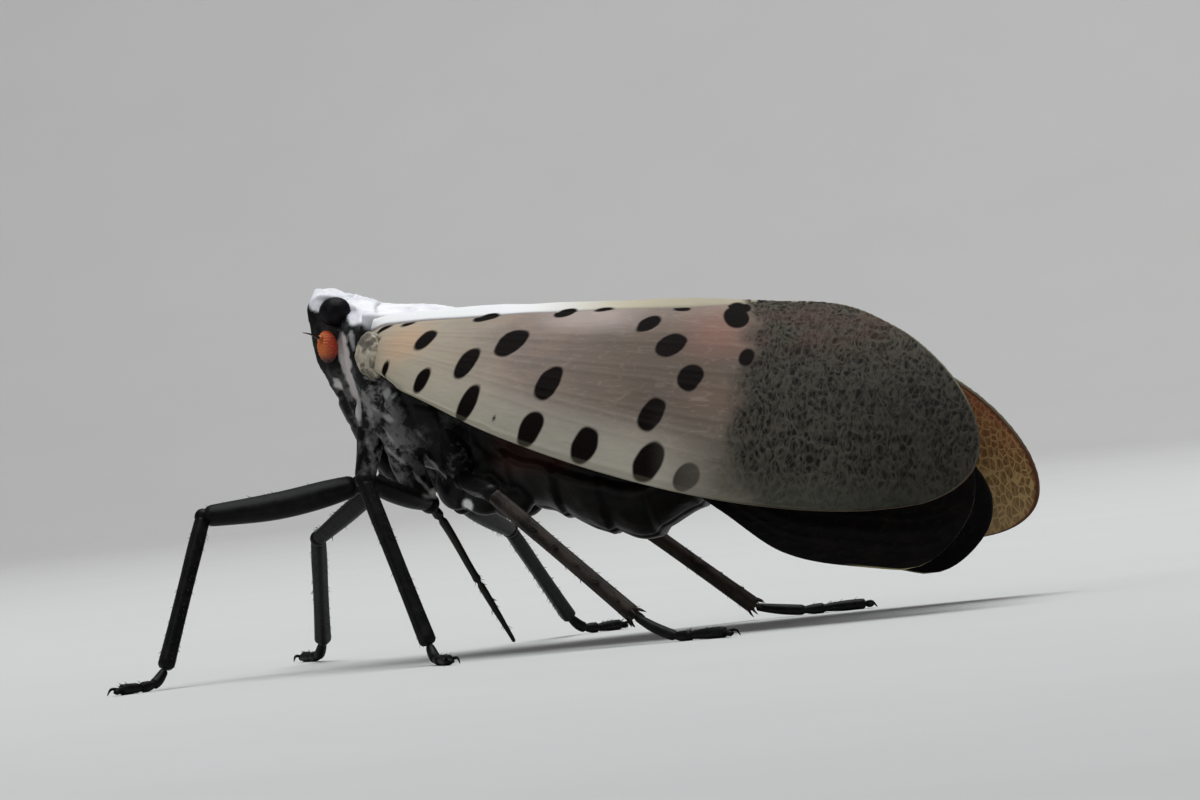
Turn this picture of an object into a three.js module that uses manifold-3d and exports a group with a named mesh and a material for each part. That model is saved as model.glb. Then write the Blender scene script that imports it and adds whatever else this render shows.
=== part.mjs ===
import * as THREE from "three";
import { mergeVertices } from "three/addons/utils/BufferGeometryUtils.js";
import Module from "manifold-3d";

// An adult spotted lanternfly standing with its wings folded like a roof, life size, in millimetres.
// The head points to -X, the left side is -Y and +Z is up, with the feet on the floor at z = 0.

// Driving dimensions
const bodyStart = -9.6;
const neckAt = -8.1;
const pronotumEnd = -6.95;
const thoraxEnd = -4.15;
const abdomenEnd = 9.9;
const wingStart = -5.95;
const wingLength = 21.75;
const wingHalfWidth = 6.3;
const wingThickness = 0.5;
const wingPitchRight = THREE.MathUtils.degToRad(4.7);
const wingStretchRight = 1.0;
const meetingGap = 0.3;
const barrelClearance = 0.5;
const chitin = { roughness: 0.45, metalness: 0 };
const weldDistance = 1e-4;

const wasm = await Module();
wasm.setup();

const vector = (x, y, z) => new THREE.Vector3(x, y, z);
const mix = THREE.MathUtils.lerp;

// Geometry and solids

// The smooth value at x through a few [x, value] pairs.
function valueAt(x, pairs) {
  if (x <= pairs[0][0]) return pairs[0][1];
  const last = pairs.length - 1;
  if (x >= pairs[last][0]) return pairs[last][1];
  const k = pairs.findIndex((pair, i) => i < last && x < pairs[i + 1][0]);
  const [p0, p1, p2, p3] = [pairs[Math.max(k - 1, 0)], pairs[k], pairs[k + 1], pairs[Math.min(k + 2, last)]];
  const span = p2[0] - p1[0];
  const t = (x - p1[0]) / span;
  const slope = (a, b) => ((b[1] - a[1]) / (b[0] - a[0] || 1)) * span;
  const m1 = slope(p0, p2);
  const m2 = slope(p1, p3);
  const t2 = t * t;
  const t3 = t2 * t;
  const start = (2 * t3 - 3 * t2 + 1) * p1[1] + (t3 - 2 * t2 + t) * m1;
  return start + (3 * t2 - 2 * t3) * p2[1] + (t3 - t2) * m2;
}

// A geometry from points and triangles, with its faces pointing out.
function geometryFrom(points, triangles) {
  const position = new Float32Array(points.flatMap((p) => [p.x, p.y, p.z]));
  let volume = 0;
  for (let i = 0; i < triangles.length; i += 3) {
    const [a, b, c] = [points[triangles[i]], points[triangles[i + 1]], points[triangles[i + 2]]];
    volume += a.dot(b.clone().cross(c));
  }
  const faces = volume < 0 ? triangles.slice().reverse() : triangles;
  const geometry = new THREE.BufferGeometry();
  geometry.setAttribute("position", new THREE.BufferAttribute(position, 3));
  geometry.setIndex(faces);
  return geometry;
}

// A closed surface through rings of equally many points, with a fan over each end.
function skinOver(rings) {
  const around = rings[0].length;
  const points = rings.flat();
  const middle = (ring) => ring.reduce((sum, p) => sum.add(p), vector(0, 0, 0)).divideScalar(around);
  const firstMiddle = points.length;
  const lastMiddle = firstMiddle + 1;
  points.push(middle(rings[0]), middle(rings[rings.length - 1]));
  const lastRing = (rings.length - 1) * around;
  const triangles = [];
  for (let k = 0; k < around; k += 1) {
    const next = (k + 1) % around;
    triangles.push(firstMiddle, next, k);
    triangles.push(lastMiddle, lastRing + k, lastRing + next);
    for (let ring = 0; ring < lastRing; ring += around) {
      triangles.push(ring + k, ring + next, ring + around + k);
      triangles.push(ring + next, ring + around + next, ring + around + k);
    }
  }
  return geometryFrom(points, triangles);
}

function solidOf(geometry) {
  const bare = geometry.clone();
  bare.deleteAttribute("normal");
  bare.deleteAttribute("uv");
  const merged = mergeVertices(bare, weldDistance);
  return new wasm.Manifold(
    new wasm.Mesh({
      numProp: 3,
      vertProperties: new Float32Array(merged.attributes.position.array),
      triVerts: new Uint32Array(merged.index.array),
    }),
  );
}

// The largest closed surface of a solid, as a geometry.
function geometryOf(solid) {
  const parts = solid.decompose();
  const largest = parts.reduce((best, part) => (part.volume() > best.volume() ? part : best));
  const mesh = largest.getMesh();
  const geometry = new THREE.BufferGeometry();
  geometry.setAttribute("position", new THREE.BufferAttribute(new Float32Array(mesh.vertProperties), 3));
  geometry.setIndex(new THREE.BufferAttribute(new Uint32Array(mesh.triVerts), 1));
  return geometry;
}

const cutBy = (solid, ...others) => others.reduce((left, other) => left.subtract(other), solid);

// A rounded rectangle between an ellipse and a box, in units from -1 to 1.
function roundedPoint(angle, squareness) {
  const bend = (value) => Math.sign(value) * Math.abs(value) ** (2 / squareness);
  return [bend(Math.cos(angle)), bend(Math.sin(angle))];
}

function ellipsoid(middle, sizes, grow = 0, columns = 18, rows = 10) {
  const ball = new THREE.SphereGeometry(1, columns, rows);
  ball.scale(sizes.x + grow, sizes.y + grow, sizes.z + grow);
  ball.translate(middle.x, middle.y, middle.z);
  return solidOf(ball);
}

function block(lowest, highest) {
  const size = highest.clone().sub(lowest);
  const box = new THREE.BoxGeometry(size.x, size.y, size.z);
  box.translate((lowest.x + highest.x) / 2, (lowest.y + highest.y) / 2, (lowest.z + highest.z) / 2);
  return solidOf(box);
}

// A tapered limb along a line of points, with a round section of its own radius at each point.
function limb(points, radii, grow = 0, sides = 8) {
  const along = (i) => points[i + 1].clone().sub(points[i]).normalize();
  const last = points.length - 1;
  const axis = points[last].clone().sub(points[0]).normalize();
  const across = Math.abs(axis.z) > 0.8 ? vector(1, 0, 0) : vector(0, 0, 1);
  const rings = points.map((point, i) => {
    const before = along(Math.max(i - 1, 0));
    const after = along(Math.min(i, last - 1));
    const direction = before.add(after).normalize();
    const u = across.clone().cross(direction).normalize();
    const v = direction.clone().cross(u);
    const middle = point.clone();
    if (i === 0) middle.addScaledVector(direction, -grow);
    if (i === last) middle.addScaledVector(direction, grow);
    const radius = radii[i] + grow;
    return Array.from({ length: sides }, (_, k) => {
      const angle = ((k + 0.5) * 2 * Math.PI) / sides;
      const side = u.clone().multiplyScalar(Math.cos(angle) * radius);
      return middle.clone().add(side).addScaledVector(v, Math.sin(angle) * radius);
    });
  });
  return solidOf(skinOver(rings));
}

// Head: rings at level heights, with the front of the face, the back and the half width of each.
const headTop = 14.1;
const clypeusSeam = 10.0;
const faceEnd = 8.35;
const faceFront = [
  [faceEnd, -8.4],
  [9.2, -8.72],
  [clypeusSeam, -9.0],
  [11.4, -9.38],
  [12.8, bodyStart],
  [13.8, -9.5],
  [headTop, -9.3],
];
const faceBack = [
  [faceEnd, -7.75],
  [9.2, -8.02],
  [clypeusSeam, -8.25],
  [headTop, neckAt - meetingGap / 2],
];
const faceHalfWidth = [
  [faceEnd, 0.42],
  [9.2, 0.85],
  [clypeusSeam, 1.15],
  [11.4, 1.62],
  [12.6, 1.75],
  [13.6, 1.6],
  [headTop, 1.15],
];
const eyeMiddle = vector(-8.38, 1.72, 13.2);
const eyeSize = vector(0.74, 0.62, 0.72);
const bulbMiddle = vector(-8.74, 2.08, 11.68);
const bulbSize = vector(0.46, 0.46, 0.56);

// Three upright keels on the face: one in the middle and one near each side.
const keelPlaces = [0, 3];
const keelHeight = 0.1;

function headSolid() {
  const around = 20;
  const levels = 13;
  const rings = [];
  for (let i = 0; i <= levels; i += 1) {
    const t = i / levels;
    const z = mix(faceEnd, headTop, t);
    const front = valueAt(z, faceFront);
    const back = valueAt(z, faceBack);
    const half = valueAt(z, faceHalfWidth);
    const ring = [];
    for (let k = 0; k < around; k += 1) {
      const [a, b] = roundedPoint((k * 2 * Math.PI) / around, 2.8);
      const keel = keelPlaces.includes(Math.min(k, around - k)) ? keelHeight : 0;
      ring.push(vector(mix(front, back, (1 - a) / 2) - keel, b * half, z));
    }
    rings.push(ring);
  }
  return solidOf(skinOver(rings));
}

const mirrored = (point, side) => vector(point.x, point.y * side, point.z);
const eyeSolid = (side, grow = 0) => ellipsoid(mirrored(eyeMiddle, side), eyeSize, grow);

// Each feeler: a ring-like base, an egg-shaped bulb, and a fine bristle that grows from its front.
function antennaSolid(side, grow = 0) {
  const bulb = ellipsoid(mirrored(bulbMiddle, side), bulbSize, grow, 14, 8);
  const root = mirrored(bulbMiddle, side).add(vector(0, -side * 0.85, 0.1));
  const stem = limb([root, mirrored(bulbMiddle, side)], [0.3, 0.34], grow);
  const bristleStart = mirrored(bulbMiddle, side).add(vector(-0.25, side * 0.1, 0.25));
  const bristleTip = bristleStart.clone().add(vector(-0.95, side * 0.75, 0.55));
  const bristle = limb([bristleStart, bristleTip], [0.2, 0.06], grow, 6);
  return bulb.add(stem).add(bristle);
}

// Thorax: the barrel of the body under the wings, and the shield on its back that narrows to a point.
const barrelTop = [
  [neckAt, 13.75],
  [-7.5, 13.7],
  [pronotumEnd, 13.35],
  [-6.2, 12.7],
  [-5.2, 12.1],
  [thoraxEnd, 11.5],
];
const barrelBottom = [
  [neckAt, 10.2],
  [-7.5, 8.85],
  [-6.6, 7.6],
  [-5.4, 6.95],
  [thoraxEnd, 6.95],
];
const barrelHalfWidth = [
  [neckAt, 2.05],
  [-7.4, 2.5],
  [-6.2, 2.62],
  [-5.2, 2.6],
  [thoraxEnd, 2.35],
];
const shieldTip = -3.1;
const shieldHalfWidth = (x) => mix(2.05, 0.14, (x - pronotumEnd) / (shieldTip - pronotumEnd));
const shieldTop = (x) => mix(13.62, 13.0, (x - pronotumEnd) / (shieldTip - pronotumEnd));

function barrelSolid(grow = 0) {
  const around = 20;
  const stations = 9;
  const start = neckAt + meetingGap / 2 - grow;
  const rings = [];
  for (let i = 0; i <= stations; i += 1) {
    const x = mix(start, thoraxEnd + grow, i / stations);
    const top = valueAt(x, barrelTop) + grow;
    const bottom = valueAt(x, barrelBottom) - grow;
    const half = valueAt(x, barrelHalfWidth) + grow;
    const ring = [];
    for (let k = 0; k < around; k += 1) {
      const [a, b] = roundedPoint((k * 2 * Math.PI) / around, 2.4);
      ring.push(vector(x, a * half, mix(bottom, top, (1 + b) / 2)));
    }
    rings.push(ring);
  }
  return solidOf(skinOver(rings));
}

// The shield is a low roof in section, whose sides stand in the barrel.
function shieldSolid(grow = 0) {
  const stations = 6;
  const depth = 1.5;
  const rings = [];
  for (let i = 0; i <= stations; i += 1) {
    const x = mix(pronotumEnd - 0.3, shieldTip, i / stations);
    const half = Math.max(shieldHalfWidth(x), 0.14) + grow;
    const top = shieldTop(x) + grow;
    const eave = top - 0.12 - 0.16 * half;
    const bottom = top - mix(depth, 0.55, i / stations) - grow;
    const section = [
      [-half, bottom],
      [half, bottom],
      [half, eave],
      [half * 0.5, top - 0.05 * half],
      [0, top],
      [-half * 0.5, top - 0.05 * half],
      [-half, eave],
    ];
    rings.push(section.map(([y, z]) => vector(x, y, z)));
  }
  return solidOf(skinOver(rings));
}

// The abdomen: eight overlapping rings, each flaring to a step before the next one starts.
const abdomenStart = thoraxEnd + meetingGap;
const abdomenTop = [
  [abdomenStart, 10.4],
  [-1, 9.65],
  [2.5, 8.6],
  [6, 7.6],
  [8.5, 7.1],
  [abdomenEnd, 6.6],
];
const abdomenBottom = [
  [abdomenStart, 7.2],
  [-1, 5.9],
  [0.8, 4.5],
  [2.5, 3.9],
  [4.2, 4.3],
  [6.5, 4.9],
  [abdomenEnd, 5.7],
];
const abdomenHalfWidth = [
  [abdomenStart, 2.0],
  [-1, 2.65],
  [2.5, 2.85],
  [5.5, 2.5],
  [8, 1.75],
  [abdomenEnd, 0.6],
];

function abdomenSolid() {
  const around = 20;
  const segments = 8;
  const flare = 0.2;
  const length = (abdomenEnd - abdomenStart) / segments;
  const ringAt = (x, grow) => {
    const top = valueAt(x, abdomenTop) + grow;
    const bottom = valueAt(x, abdomenBottom) - grow;
    const half = valueAt(x, abdomenHalfWidth) + grow;
    return Array.from({ length: around }, (_, k) => {
      const [a, b] = roundedPoint((k * 2 * Math.PI) / around, 2.2);
      return vector(x, a * half, mix(bottom, top, (1 + b) / 2));
    });
  };
  const rings = [];
  for (let segment = 0; segment < segments; segment += 1) {
    const x = abdomenStart + segment * length;
    const size = segment === segments - 1 ? 0.3 : 1;
    rings.push(ringAt(x, 0));
    rings.push(ringAt(x + length * 0.5, flare * 0.6 * size));
    rings.push(ringAt(x + length * 0.9, flare * size));
  }
  rings.push(ringAt(abdomenEnd, -0.1));
  return solidOf(skinOver(rings));
}

// Wings: the left and right ones are folded like a roof over the body.

// The inner margin follows the shield, then runs along the middle of the back.
const besideShield = 0.44;
const besideMiddle = 0.18;
const innerMargin = (x) => Math.max(shieldHalfWidth(x) + besideShield, besideMiddle);
const ridgeHeight = (x) => 12.85 - 0.0052 * (x + 6) ** 2;
const lowerHeight = (x) => 3.9 + 6.4 * Math.max((12 - x) / 18.4, 0) ** 1.65;
const lowerReach = (x) => wingHalfWidth - 2.9 * ((9 - x) / 15.4) ** 2;

// How far back the wing reaches along the margin: v is 0 on the ridge and 1 on the lower margin.
function wingEnd(v) {
  const roundest = 0.75;
  const upper = 9.3;
  const reach = wingStart + wingLength - upper;
  if (v < roundest) {
    const fall = ((roundest - v) / roundest) ** 1.7;
    return upper + reach * (1 - fall) ** 0.77;
  }
  const fall = ((v - roundest) / (1 - roundest)) ** 2.5;
  return upper + reach * (0.54 + 0.46 * Math.sqrt(1 - fall));
}

// A cubic curve in the Y-Z plane from the ridge (y0, z0) out and down to the lower margin (y1, z1).
function roofPoint(v, y0, z0, y1, z1, bulge) {
  const fall = z0 - z1;
  const w = 1 - v;
  const weights = [w ** 3, 3 * w * w * v, 3 * w * v * v, v ** 3];
  const ys = [y0, mix(y0, y1, 0.42), mix(y0, y1, bulge), y1];
  const zs = [z0, z0 - 0.1 * fall, z1 + 0.42 * fall, z1];
  const sum = (values) => values.reduce((total, value, i) => total + value * weights[i], 0);
  return [sum(ys), sum(zs)];
}

// The far end of the right wing shows behind the left one, so it is drawn out towards its tip.
function forewingPoint(u, v, side) {
  const x = mix(wingStart, wingEnd(v), u);
  const [y, z] = roofPoint(v, innerMargin(x), ridgeHeight(x), lowerReach(x), lowerHeight(x), 0.92);
  const stretch = side > 0 ? wingStretchRight * THREE.MathUtils.clamp((x - 2) / 12, 0, 1) : 0;
  return vector(x + stretch, y, z);
}

// The hindwing hangs under the forewing, folded to a narrow fan whose black end shows below it.
const hindwingStart = -3.6;
const hindwingInner = 0.7;
const hindwingDrop = 1.3;
const hindwingLiftRight = 1.05;
const hindwingLower = [
  [hindwingStart, 10.0],
  [0, 8.0],
  [4, 6.0],
  [6, 4.45],
  [8.2, 2.7],
  [11.2, 1.85],
  [13.4, 1.65],
  [15.6, 2.6],
];
const hindwingReach = [
  [hindwingStart, 2.6],
  [0, 3.55],
  [4, 4.45],
  [8, 4.9],
  [11.2, 4.6],
  [15.6, 3.6],
];

function hindwingEnd(v) {
  const roundest = 0.72;
  const upper = 9.0;
  const reach = 15.2 - upper;
  const side = v < roundest ? (roundest - v) / roundest : (v - roundest) / (1 - roundest);
  const power = v < roundest ? 1.8 : 2.6;
  const floor = v < roundest ? 0 : 0.55;
  return upper + reach * (floor + (1 - floor) * Math.max(1 - side ** power, 0) ** 0.7);
}

function hindwingPoint(u, v, side) {
  const x = mix(hindwingStart, hindwingEnd(v), u);
  const lift = side > 0 ? hindwingLiftRight * THREE.MathUtils.smoothstep(x, 2, 11) : 0;
  const lower = valueAt(x, hindwingLower) + lift;
  const top = ridgeHeight(x) - hindwingDrop;
  const [y, z] = roofPoint(v, hindwingInner, top, valueAt(x, hindwingReach), lower, 0.96);
  return vector(x, y, z);
}

// Each vein's line: how far down from the ridge it lies, at places from the wing's root to its end.
// A vein stands as a sharp ridge up to the place where it runs out.
const veinHeight = 0.2;
const veinHalfWidth = 0.17;
const forewingVeins = [
  { line: [[0, 0.28], [0.3, 0.2], [0.6, 0.1], [1, 0.07]], until: 0.55, apart: true },
  { line: [[0, 0.38], [0.45, 0.31], [1, 0.2]], until: 0.96, apart: true },
  { line: [[0, 0.42], [0.45, 0.36], [1, 0.36]], until: 0.96 },
  { line: [[0, 0.5], [0.4, 0.49], [1, 0.48]], until: 0.96, apart: true },
  { line: [[0, 0.54], [0.4, 0.54], [1, 0.61]], until: 0.96 },
  { line: [[0, 0.62], [0.35, 0.67], [1, 0.73]], until: 0.96, apart: true },
  { line: [[0, 0.66], [0.35, 0.72], [1, 0.86]], until: 0.96 },
];
const hindwingVeins = [0.3, 0.5, 0.68, 0.82, 0.92].map((row, i) => {
  return { line: [[0, row], [1, row]], until: 0.93, apart: i < 2 };
});

// The places across the wing at one place along it: both margins, and each vein's crest and feet,
// with a plain row before each vein that stands apart from the one before it.
function rowsAt(u, veins, chord) {
  const crests = veins.map((vein) => valueAt(u, vein.line));
  const rows = [{ v: 0, height: 0 }];
  crests.forEach((crest, i) => {
    const before = i === 0 ? 0 : crests[i - 1];
    const after = i === crests.length - 1 ? 1 : crests[i + 1];
    const foot = Math.min(veinHalfWidth / chord, (crest - before) / 3, (after - crest) / 3);
    if (veins[i].apart) rows.push({ v: mix(rows[rows.length - 1].v, crest - foot, 0.5), height: 0 });
    const height = u > 0 && u < veins[i].until ? veinHeight : 0;
    rows.push({ v: crest - foot, height: 0 });
    rows.push({ v: crest, height });
    rows.push({ v: crest + foot, height: 0 });
  });
  rows.push({ v: mix(rows[rows.length - 1].v, 1, 0.5), height: 0 });
  rows.push({ v: 1, height: 0 });
  return rows;
}

// A sheet of even thickness over a surface point(u, v), with its veins raised in the outer face.
// Both faces are split into the same triangles.
function sheetGeometry(point, columns, veins, outwards) {
  const step = 1e-3;
  const outer = [];
  const inner = [];
  for (let i = 0; i <= columns; i += 1) {
    const u = i / columns;
    const chord = point(u, 0).distanceTo(point(u, 1)) * 1.15;
    for (const { v, height } of rowsAt(u, veins, chord)) {
      const here = point(u, v);
      const nearU = Math.min(Math.max(u, step), 1 - step);
      const nearV = Math.min(Math.max(v, step), 1 - step);
      const alongU = point(nearU + step, nearV).sub(point(nearU - step, nearV));
      const alongV = point(nearU, nearV + step).sub(point(nearU, nearV - step));
      const normal = alongU.cross(alongV).normalize().multiplyScalar(outwards);
      outer.push(here.clone().addScaledVector(normal, wingThickness / 2 + height));
      inner.push(here.clone().addScaledVector(normal, -wingThickness / 2));
    }
  }
  const far = outer.length;
  const rows = far / (columns + 1) - 1;
  const at = (i, j) => i * (rows + 1) + j;
  const triangles = [];
  for (let i = 0; i < columns; i += 1) {
    for (let j = 0; j < rows; j += 1) {
      const [a, b, c, d] = [at(i, j), at(i + 1, j), at(i + 1, j + 1), at(i, j + 1)];
      triangles.push(a, b, c, a, c, d);
      triangles.push(far + a, far + c, far + b, far + a, far + d, far + c);
    }
  }
  const rim = [];
  for (let i = 0; i < columns; i += 1) rim.push(at(i, 0));
  for (let j = 0; j < rows; j += 1) rim.push(at(columns, j));
  for (let i = columns; i > 0; i -= 1) rim.push(at(i, rows));
  for (let j = rows; j > 0; j -= 1) rim.push(at(0, j));
  rim.forEach((a, k) => {
    const b = rim[(k + 1) % rim.length];
    triangles.push(a, far + a, b, b, far + a, far + b);
  });
  return geometryFrom([...outer, ...inner], triangles);
}

// The right pair is held lower at the rear than the left one, by a turn at the wing root.
const wingRoot = vector(wingStart, 0, 11.4);
const wingTurn = new THREE.Matrix4().makeRotationY(wingPitchRight);

function heldWing(point, side) {
  if (side < 0) return vector(point.x, -point.y, point.z);
  return point.clone().sub(wingRoot).applyMatrix4(wingTurn).add(wingRoot);
}

function forewing(side) {
  const point = (u, v) => heldWing(forewingPoint(u, v, side), side);
  return sheetGeometry(point, 24, forewingVeins, side);
}

function hindwing(side) {
  const point = (u, v) => heldWing(hindwingPoint(u, v, side), side);
  return sheetGeometry(point, 18, hindwingVeins, side);
}

// The tegula: a small scale over the root of each forewing.
const tegulaMiddle = vector(-6.86, 2.9, 11.65);
const tegulaSize = vector(0.64, 0.58, 0.64);

// Legs: where each joint lies along and above the floor, the reach out to the side comes from the lengths.
const segmentLengths = {
  front: { femur: 6.1, tibia: 6.3, tarsus: 2.3 },
  middle: { femur: 5.0, tibia: 6.9, tarsus: 2.3 },
  hind: { femur: 4.9, tibia: 7.4, tarsus: 4.2 },
};
const coxaRadii = [0.64, 0.62, 0.5];
const femurRadii = [0.36, 0.46, 0.48, 0.44, 0.4];
const tibiaRadii = [0.32, 0.34, 0.34, 0.34, 0.3];
const tarsusRadii = [0.29, 0.3, 0.3, 0.31, 0.3, 0.24];
const ankleHeight = 0.72;
const soleHeight = 0.2;

const legs = [
  {
    name: "left_front",
    pair: "front",
    side: -1,
    hip: vector(-7.45, -1.55, 9.4),
    trochanter: vector(-7.83, -2.0, 6.75),
    knee: { x: -13.82, z: 6.14 },
    ankle: { x: -15.08 },
    toeTurn: 125,
  },
  {
    name: "right_front",
    pair: "front",
    side: 1,
    hip: vector(-7.45, 1.55, 9.4),
    trochanter: vector(-7.87, 1.95, 6.8),
    knee: { x: -11.8, z: 4.79 },
    ankle: { x: -13.19 },
    toeTurn: 125,
  },
  {
    name: "left_middle",
    pair: "middle",
    side: -1,
    hip: vector(-6.1, -1.65, 9.0),
    trochanter: vector(-5.45, -1.95, 5.9),
    knee: { x: -6.69, z: 6.96 },
    ankle: { x: -4.41 },
    toeTurn: 60,
  },
  {
    name: "right_middle",
    pair: "middle",
    side: 1,
    hip: vector(-6.1, 1.65, 9.0),
    trochanter: vector(-5.3, 1.95, 5.7),
    knee: { x: -4.48, z: 4.38 },
    ankle: { x: -3.81 },
    toeTurn: 40,
  },
  {
    name: "left_hind",
    pair: "hind",
    side: -1,
    hip: vector(-4.75, -1.7, 8.8),
    trochanter: vector(-4.0, -2.2, 6.5),
    knee: { x: -2.03, z: 5.97 },
    ankle: { x: 3.21, z: 1.0 },
    toeTurn: 28,
  },
  {
    name: "right_hind",
    pair: "hind",
    side: 1,
    hip: vector(-4.75, 1.7, 8.8),
    trochanter: vector(-4.0, 2.2, 6.4),
    knee: { x: -0.34, z: 5.37 },
    ankle: { x: 4.39 },
    toeTurn: 10,
  },
];

// The point at a given place along and above the floor, out to the side by what the length leaves.
function reachOut(from, x, z, length, side) {
  const rest = length ** 2 - (x - from.x) ** 2 - (z - from.z) ** 2;
  return vector(x, from.y + side * Math.sqrt(Math.max(rest, 0)), z);
}

function jointsOf(leg) {
  const lengths = segmentLengths[leg.pair];
  const knee = reachOut(leg.trochanter, leg.knee.x, leg.knee.z, lengths.femur, leg.side);
  const ankle = reachOut(knee, leg.ankle.x, leg.ankle.z ?? ankleHeight, lengths.tibia, leg.side);
  const turn = THREE.MathUtils.degToRad(leg.toeTurn);
  const drop = ankle.z - soleHeight;
  const run = Math.sqrt(lengths.tarsus ** 2 - drop ** 2);
  const toe = vector(ankle.x + run * Math.cos(turn), ankle.y + leg.side * run * Math.sin(turn), soleHeight);
  return { hip: leg.hip, trochanter: leg.trochanter, knee, ankle, toe };
}

// Points from one joint to the next at even steps.
const steps = (from, to, count) =>
  Array.from({ length: count }, (_, i) => from.clone().lerp(to, i / (count - 1)));

const below = (height) => block(vector(-40, -40, height - 20), vector(40, 40, height));

// A cone from a root sunk in its carrier out to a point.
const spine = (root, tip, radius) => limb([root, root.clone().lerp(tip, 0.5), tip], [radius, radius * 0.7, 0.03], 0, 5);

// The hind shins bear a row of spines along their outer side and a crown of them at the end.
const sideSpines = { count: 5, first: 0.3, last: 0.86, length: 0.62, radius: 0.13 };
const crownSpines = { count: 6, length: 0.5, radius: 0.12 };

function shinSpines(knee, ankle, side) {
  const along = ankle.clone().sub(knee).normalize();
  const outside = vector(0.15, side, 0.35);
  outside.addScaledVector(along, -outside.dot(along)).normalize();
  const spines = [];
  for (let i = 0; i < sideSpines.count; i += 1) {
    const place = mix(sideSpines.first, sideSpines.last, i / (sideSpines.count - 1));
    const root = knee.clone().lerp(ankle, place);
    const reach = sideSpines.length * mix(0.85, 1.1, i / (sideSpines.count - 1));
    const tip = root.clone().addScaledVector(outside, reach).addScaledVector(along, reach * 0.6);
    spines.push(spine(root, tip, sideSpines.radius));
  }
  const across = along.clone().cross(outside);
  for (let i = 0; i < crownSpines.count; i += 1) {
    const angle = (i * 2 * Math.PI) / crownSpines.count;
    const radial = outside.clone().multiplyScalar(Math.cos(angle)).addScaledVector(across, Math.sin(angle));
    const root = ankle.clone().addScaledVector(along, -0.42).addScaledVector(radial, 0.16);
    const tip = root.clone().addScaledVector(radial, 0.3).addScaledVector(along, crownSpines.length);
    spines.push(spine(root, tip, crownSpines.radius));
  }
  return spines;
}

// Two small curved claws at the end of each foot.
const clawLength = 0.5;
const clawRadius = 0.12;

function claws(heel, toe) {
  const along = toe.clone().sub(heel).setZ(0).normalize();
  const across = vector(-along.y, along.x, 0);
  return [-1, 1].map((hand) => {
    const root = toe.clone().addScaledVector(along, -0.15).addScaledVector(across, hand * 0.08);
    const bend = root.clone().addScaledVector(along, clawLength * 0.6).addScaledVector(across, hand * 0.16);
    bend.z += 0.06;
    const tip = bend.clone().addScaledVector(along, clawLength * 0.4).addScaledVector(across, hand * 0.06);
    tip.z = 0.07;
    return limb([root, bend, tip], [clawRadius, clawRadius * 0.8, 0.03], 0, 5);
  });
}

const joined = (solid, pieces) => pieces.reduce((whole, piece) => whole.add(piece), solid);

function legSolids(leg) {
  const { hip, trochanter, knee, ankle, toe } = jointsOf(leg);
  const coxa = (grow) => limb(steps(hip, trochanter, 3), coxaRadii, grow, 10);
  const femur = (grow) => limb(steps(trochanter, knee, 5), femurRadii, grow);
  const tibia = (grow) => limb(steps(knee, ankle, 5), tibiaRadii, grow);
  const heel = ankle.clone().lerp(toe, 0.22);
  heel.z = mix(ankle.z, soleHeight, leg.pair === "hind" ? 0.6 : 0.8);
  const ball = ankle.clone().lerp(toe, 0.45).setZ(soleHeight);
  const foot = (grow) => limb([ankle, heel, ...steps(ball, toe, 4)], tarsusRadii, grow);
  const tarsus = joined(foot(0), claws(heel, toe));
  const spines = leg.pair === "hind" ? shinSpines(knee, ankle, leg.side) : [];
  return {
    coxa: cutBy(coxa(0), barrelSolid(barrelClearance)),
    femur: cutBy(femur(0), coxa(meetingGap), barrelSolid(meetingGap)),
    tibia: joined(cutBy(tibia(0), femur(meetingGap)), spines.map((piece) => cutBy(piece, foot(meetingGap)))),
    tarsus: cutBy(tarsus, tibia(meetingGap), below(0)),
  };
}

// The beak: from the end of the face back under the chest, then down to just above the floor.
const beakLine = [
  vector(-7.9, 0, 7.85),
  vector(-7.1, 0, 6.95),
  vector(-5.7, 0, 5.45),
  vector(-4.5, 0, 3.0),
  vector(-3.35, 0, 0.6),
  vector(-3.22, 0, 0.35),
];
const beakRadii = [0.34, 0.36, 0.33, 0.29, 0.26, 0.16];

// Colours of the sub-parts
const colours = {
  body: 0x17130f,
  wax: 0xb9b7b2,
  eye: 0x0d0b0a,
  orange: 0xd2561c,
  forewing: 0xa8988c,
  hindwing: 0x15110f,
  leg: 0x14110f,
};

const insect = new THREE.Group();

function addNode(name, geometry, colour) {
  const material = new THREE.MeshStandardMaterial({ color: colour, ...chitin });
  const mesh = new THREE.Mesh(geometry, material);
  mesh.name = name;
  insect.add(mesh);
}

const sides = { left: -1, right: 1 };
const eyes = Object.values(sides).map((side) => eyeSolid(side, meetingGap));
const feelers = Object.values(sides).map((side) => antennaSolid(side, meetingGap));
const far = 30;
const seam = meetingGap / 2;

const wholeHead = cutBy(headSolid(), ...eyes, ...feelers);
const belowSeam = block(vector(-far, -far, -far), vector(far, far, clypeusSeam + seam));
const aboveSeam = block(vector(-far, -far, clypeusSeam - seam), vector(far, far, far));
addNode("head", geometryOf(wholeHead.subtract(belowSeam)), colours.wax);
addNode("clypeus", geometryOf(wholeHead.subtract(aboveSeam)), colours.wax);
addNode("beak", geometryOf(limb(beakLine, beakRadii)), colours.body);

const wholeThorax = cutBy(barrelSolid().add(shieldSolid()), ...eyes);
const behindPronotum = block(vector(pronotumEnd - seam, -far, -far), vector(far, far, far));
const beforeThorax = block(vector(-far, -far, -far), vector(pronotumEnd + seam, far, far));
addNode("pronotum", geometryOf(wholeThorax.subtract(behindPronotum)), colours.wax);
addNode("thorax", geometryOf(wholeThorax.subtract(beforeThorax)), colours.wax);
addNode("abdomen", geometryOf(abdomenSolid()), colours.body);

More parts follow.
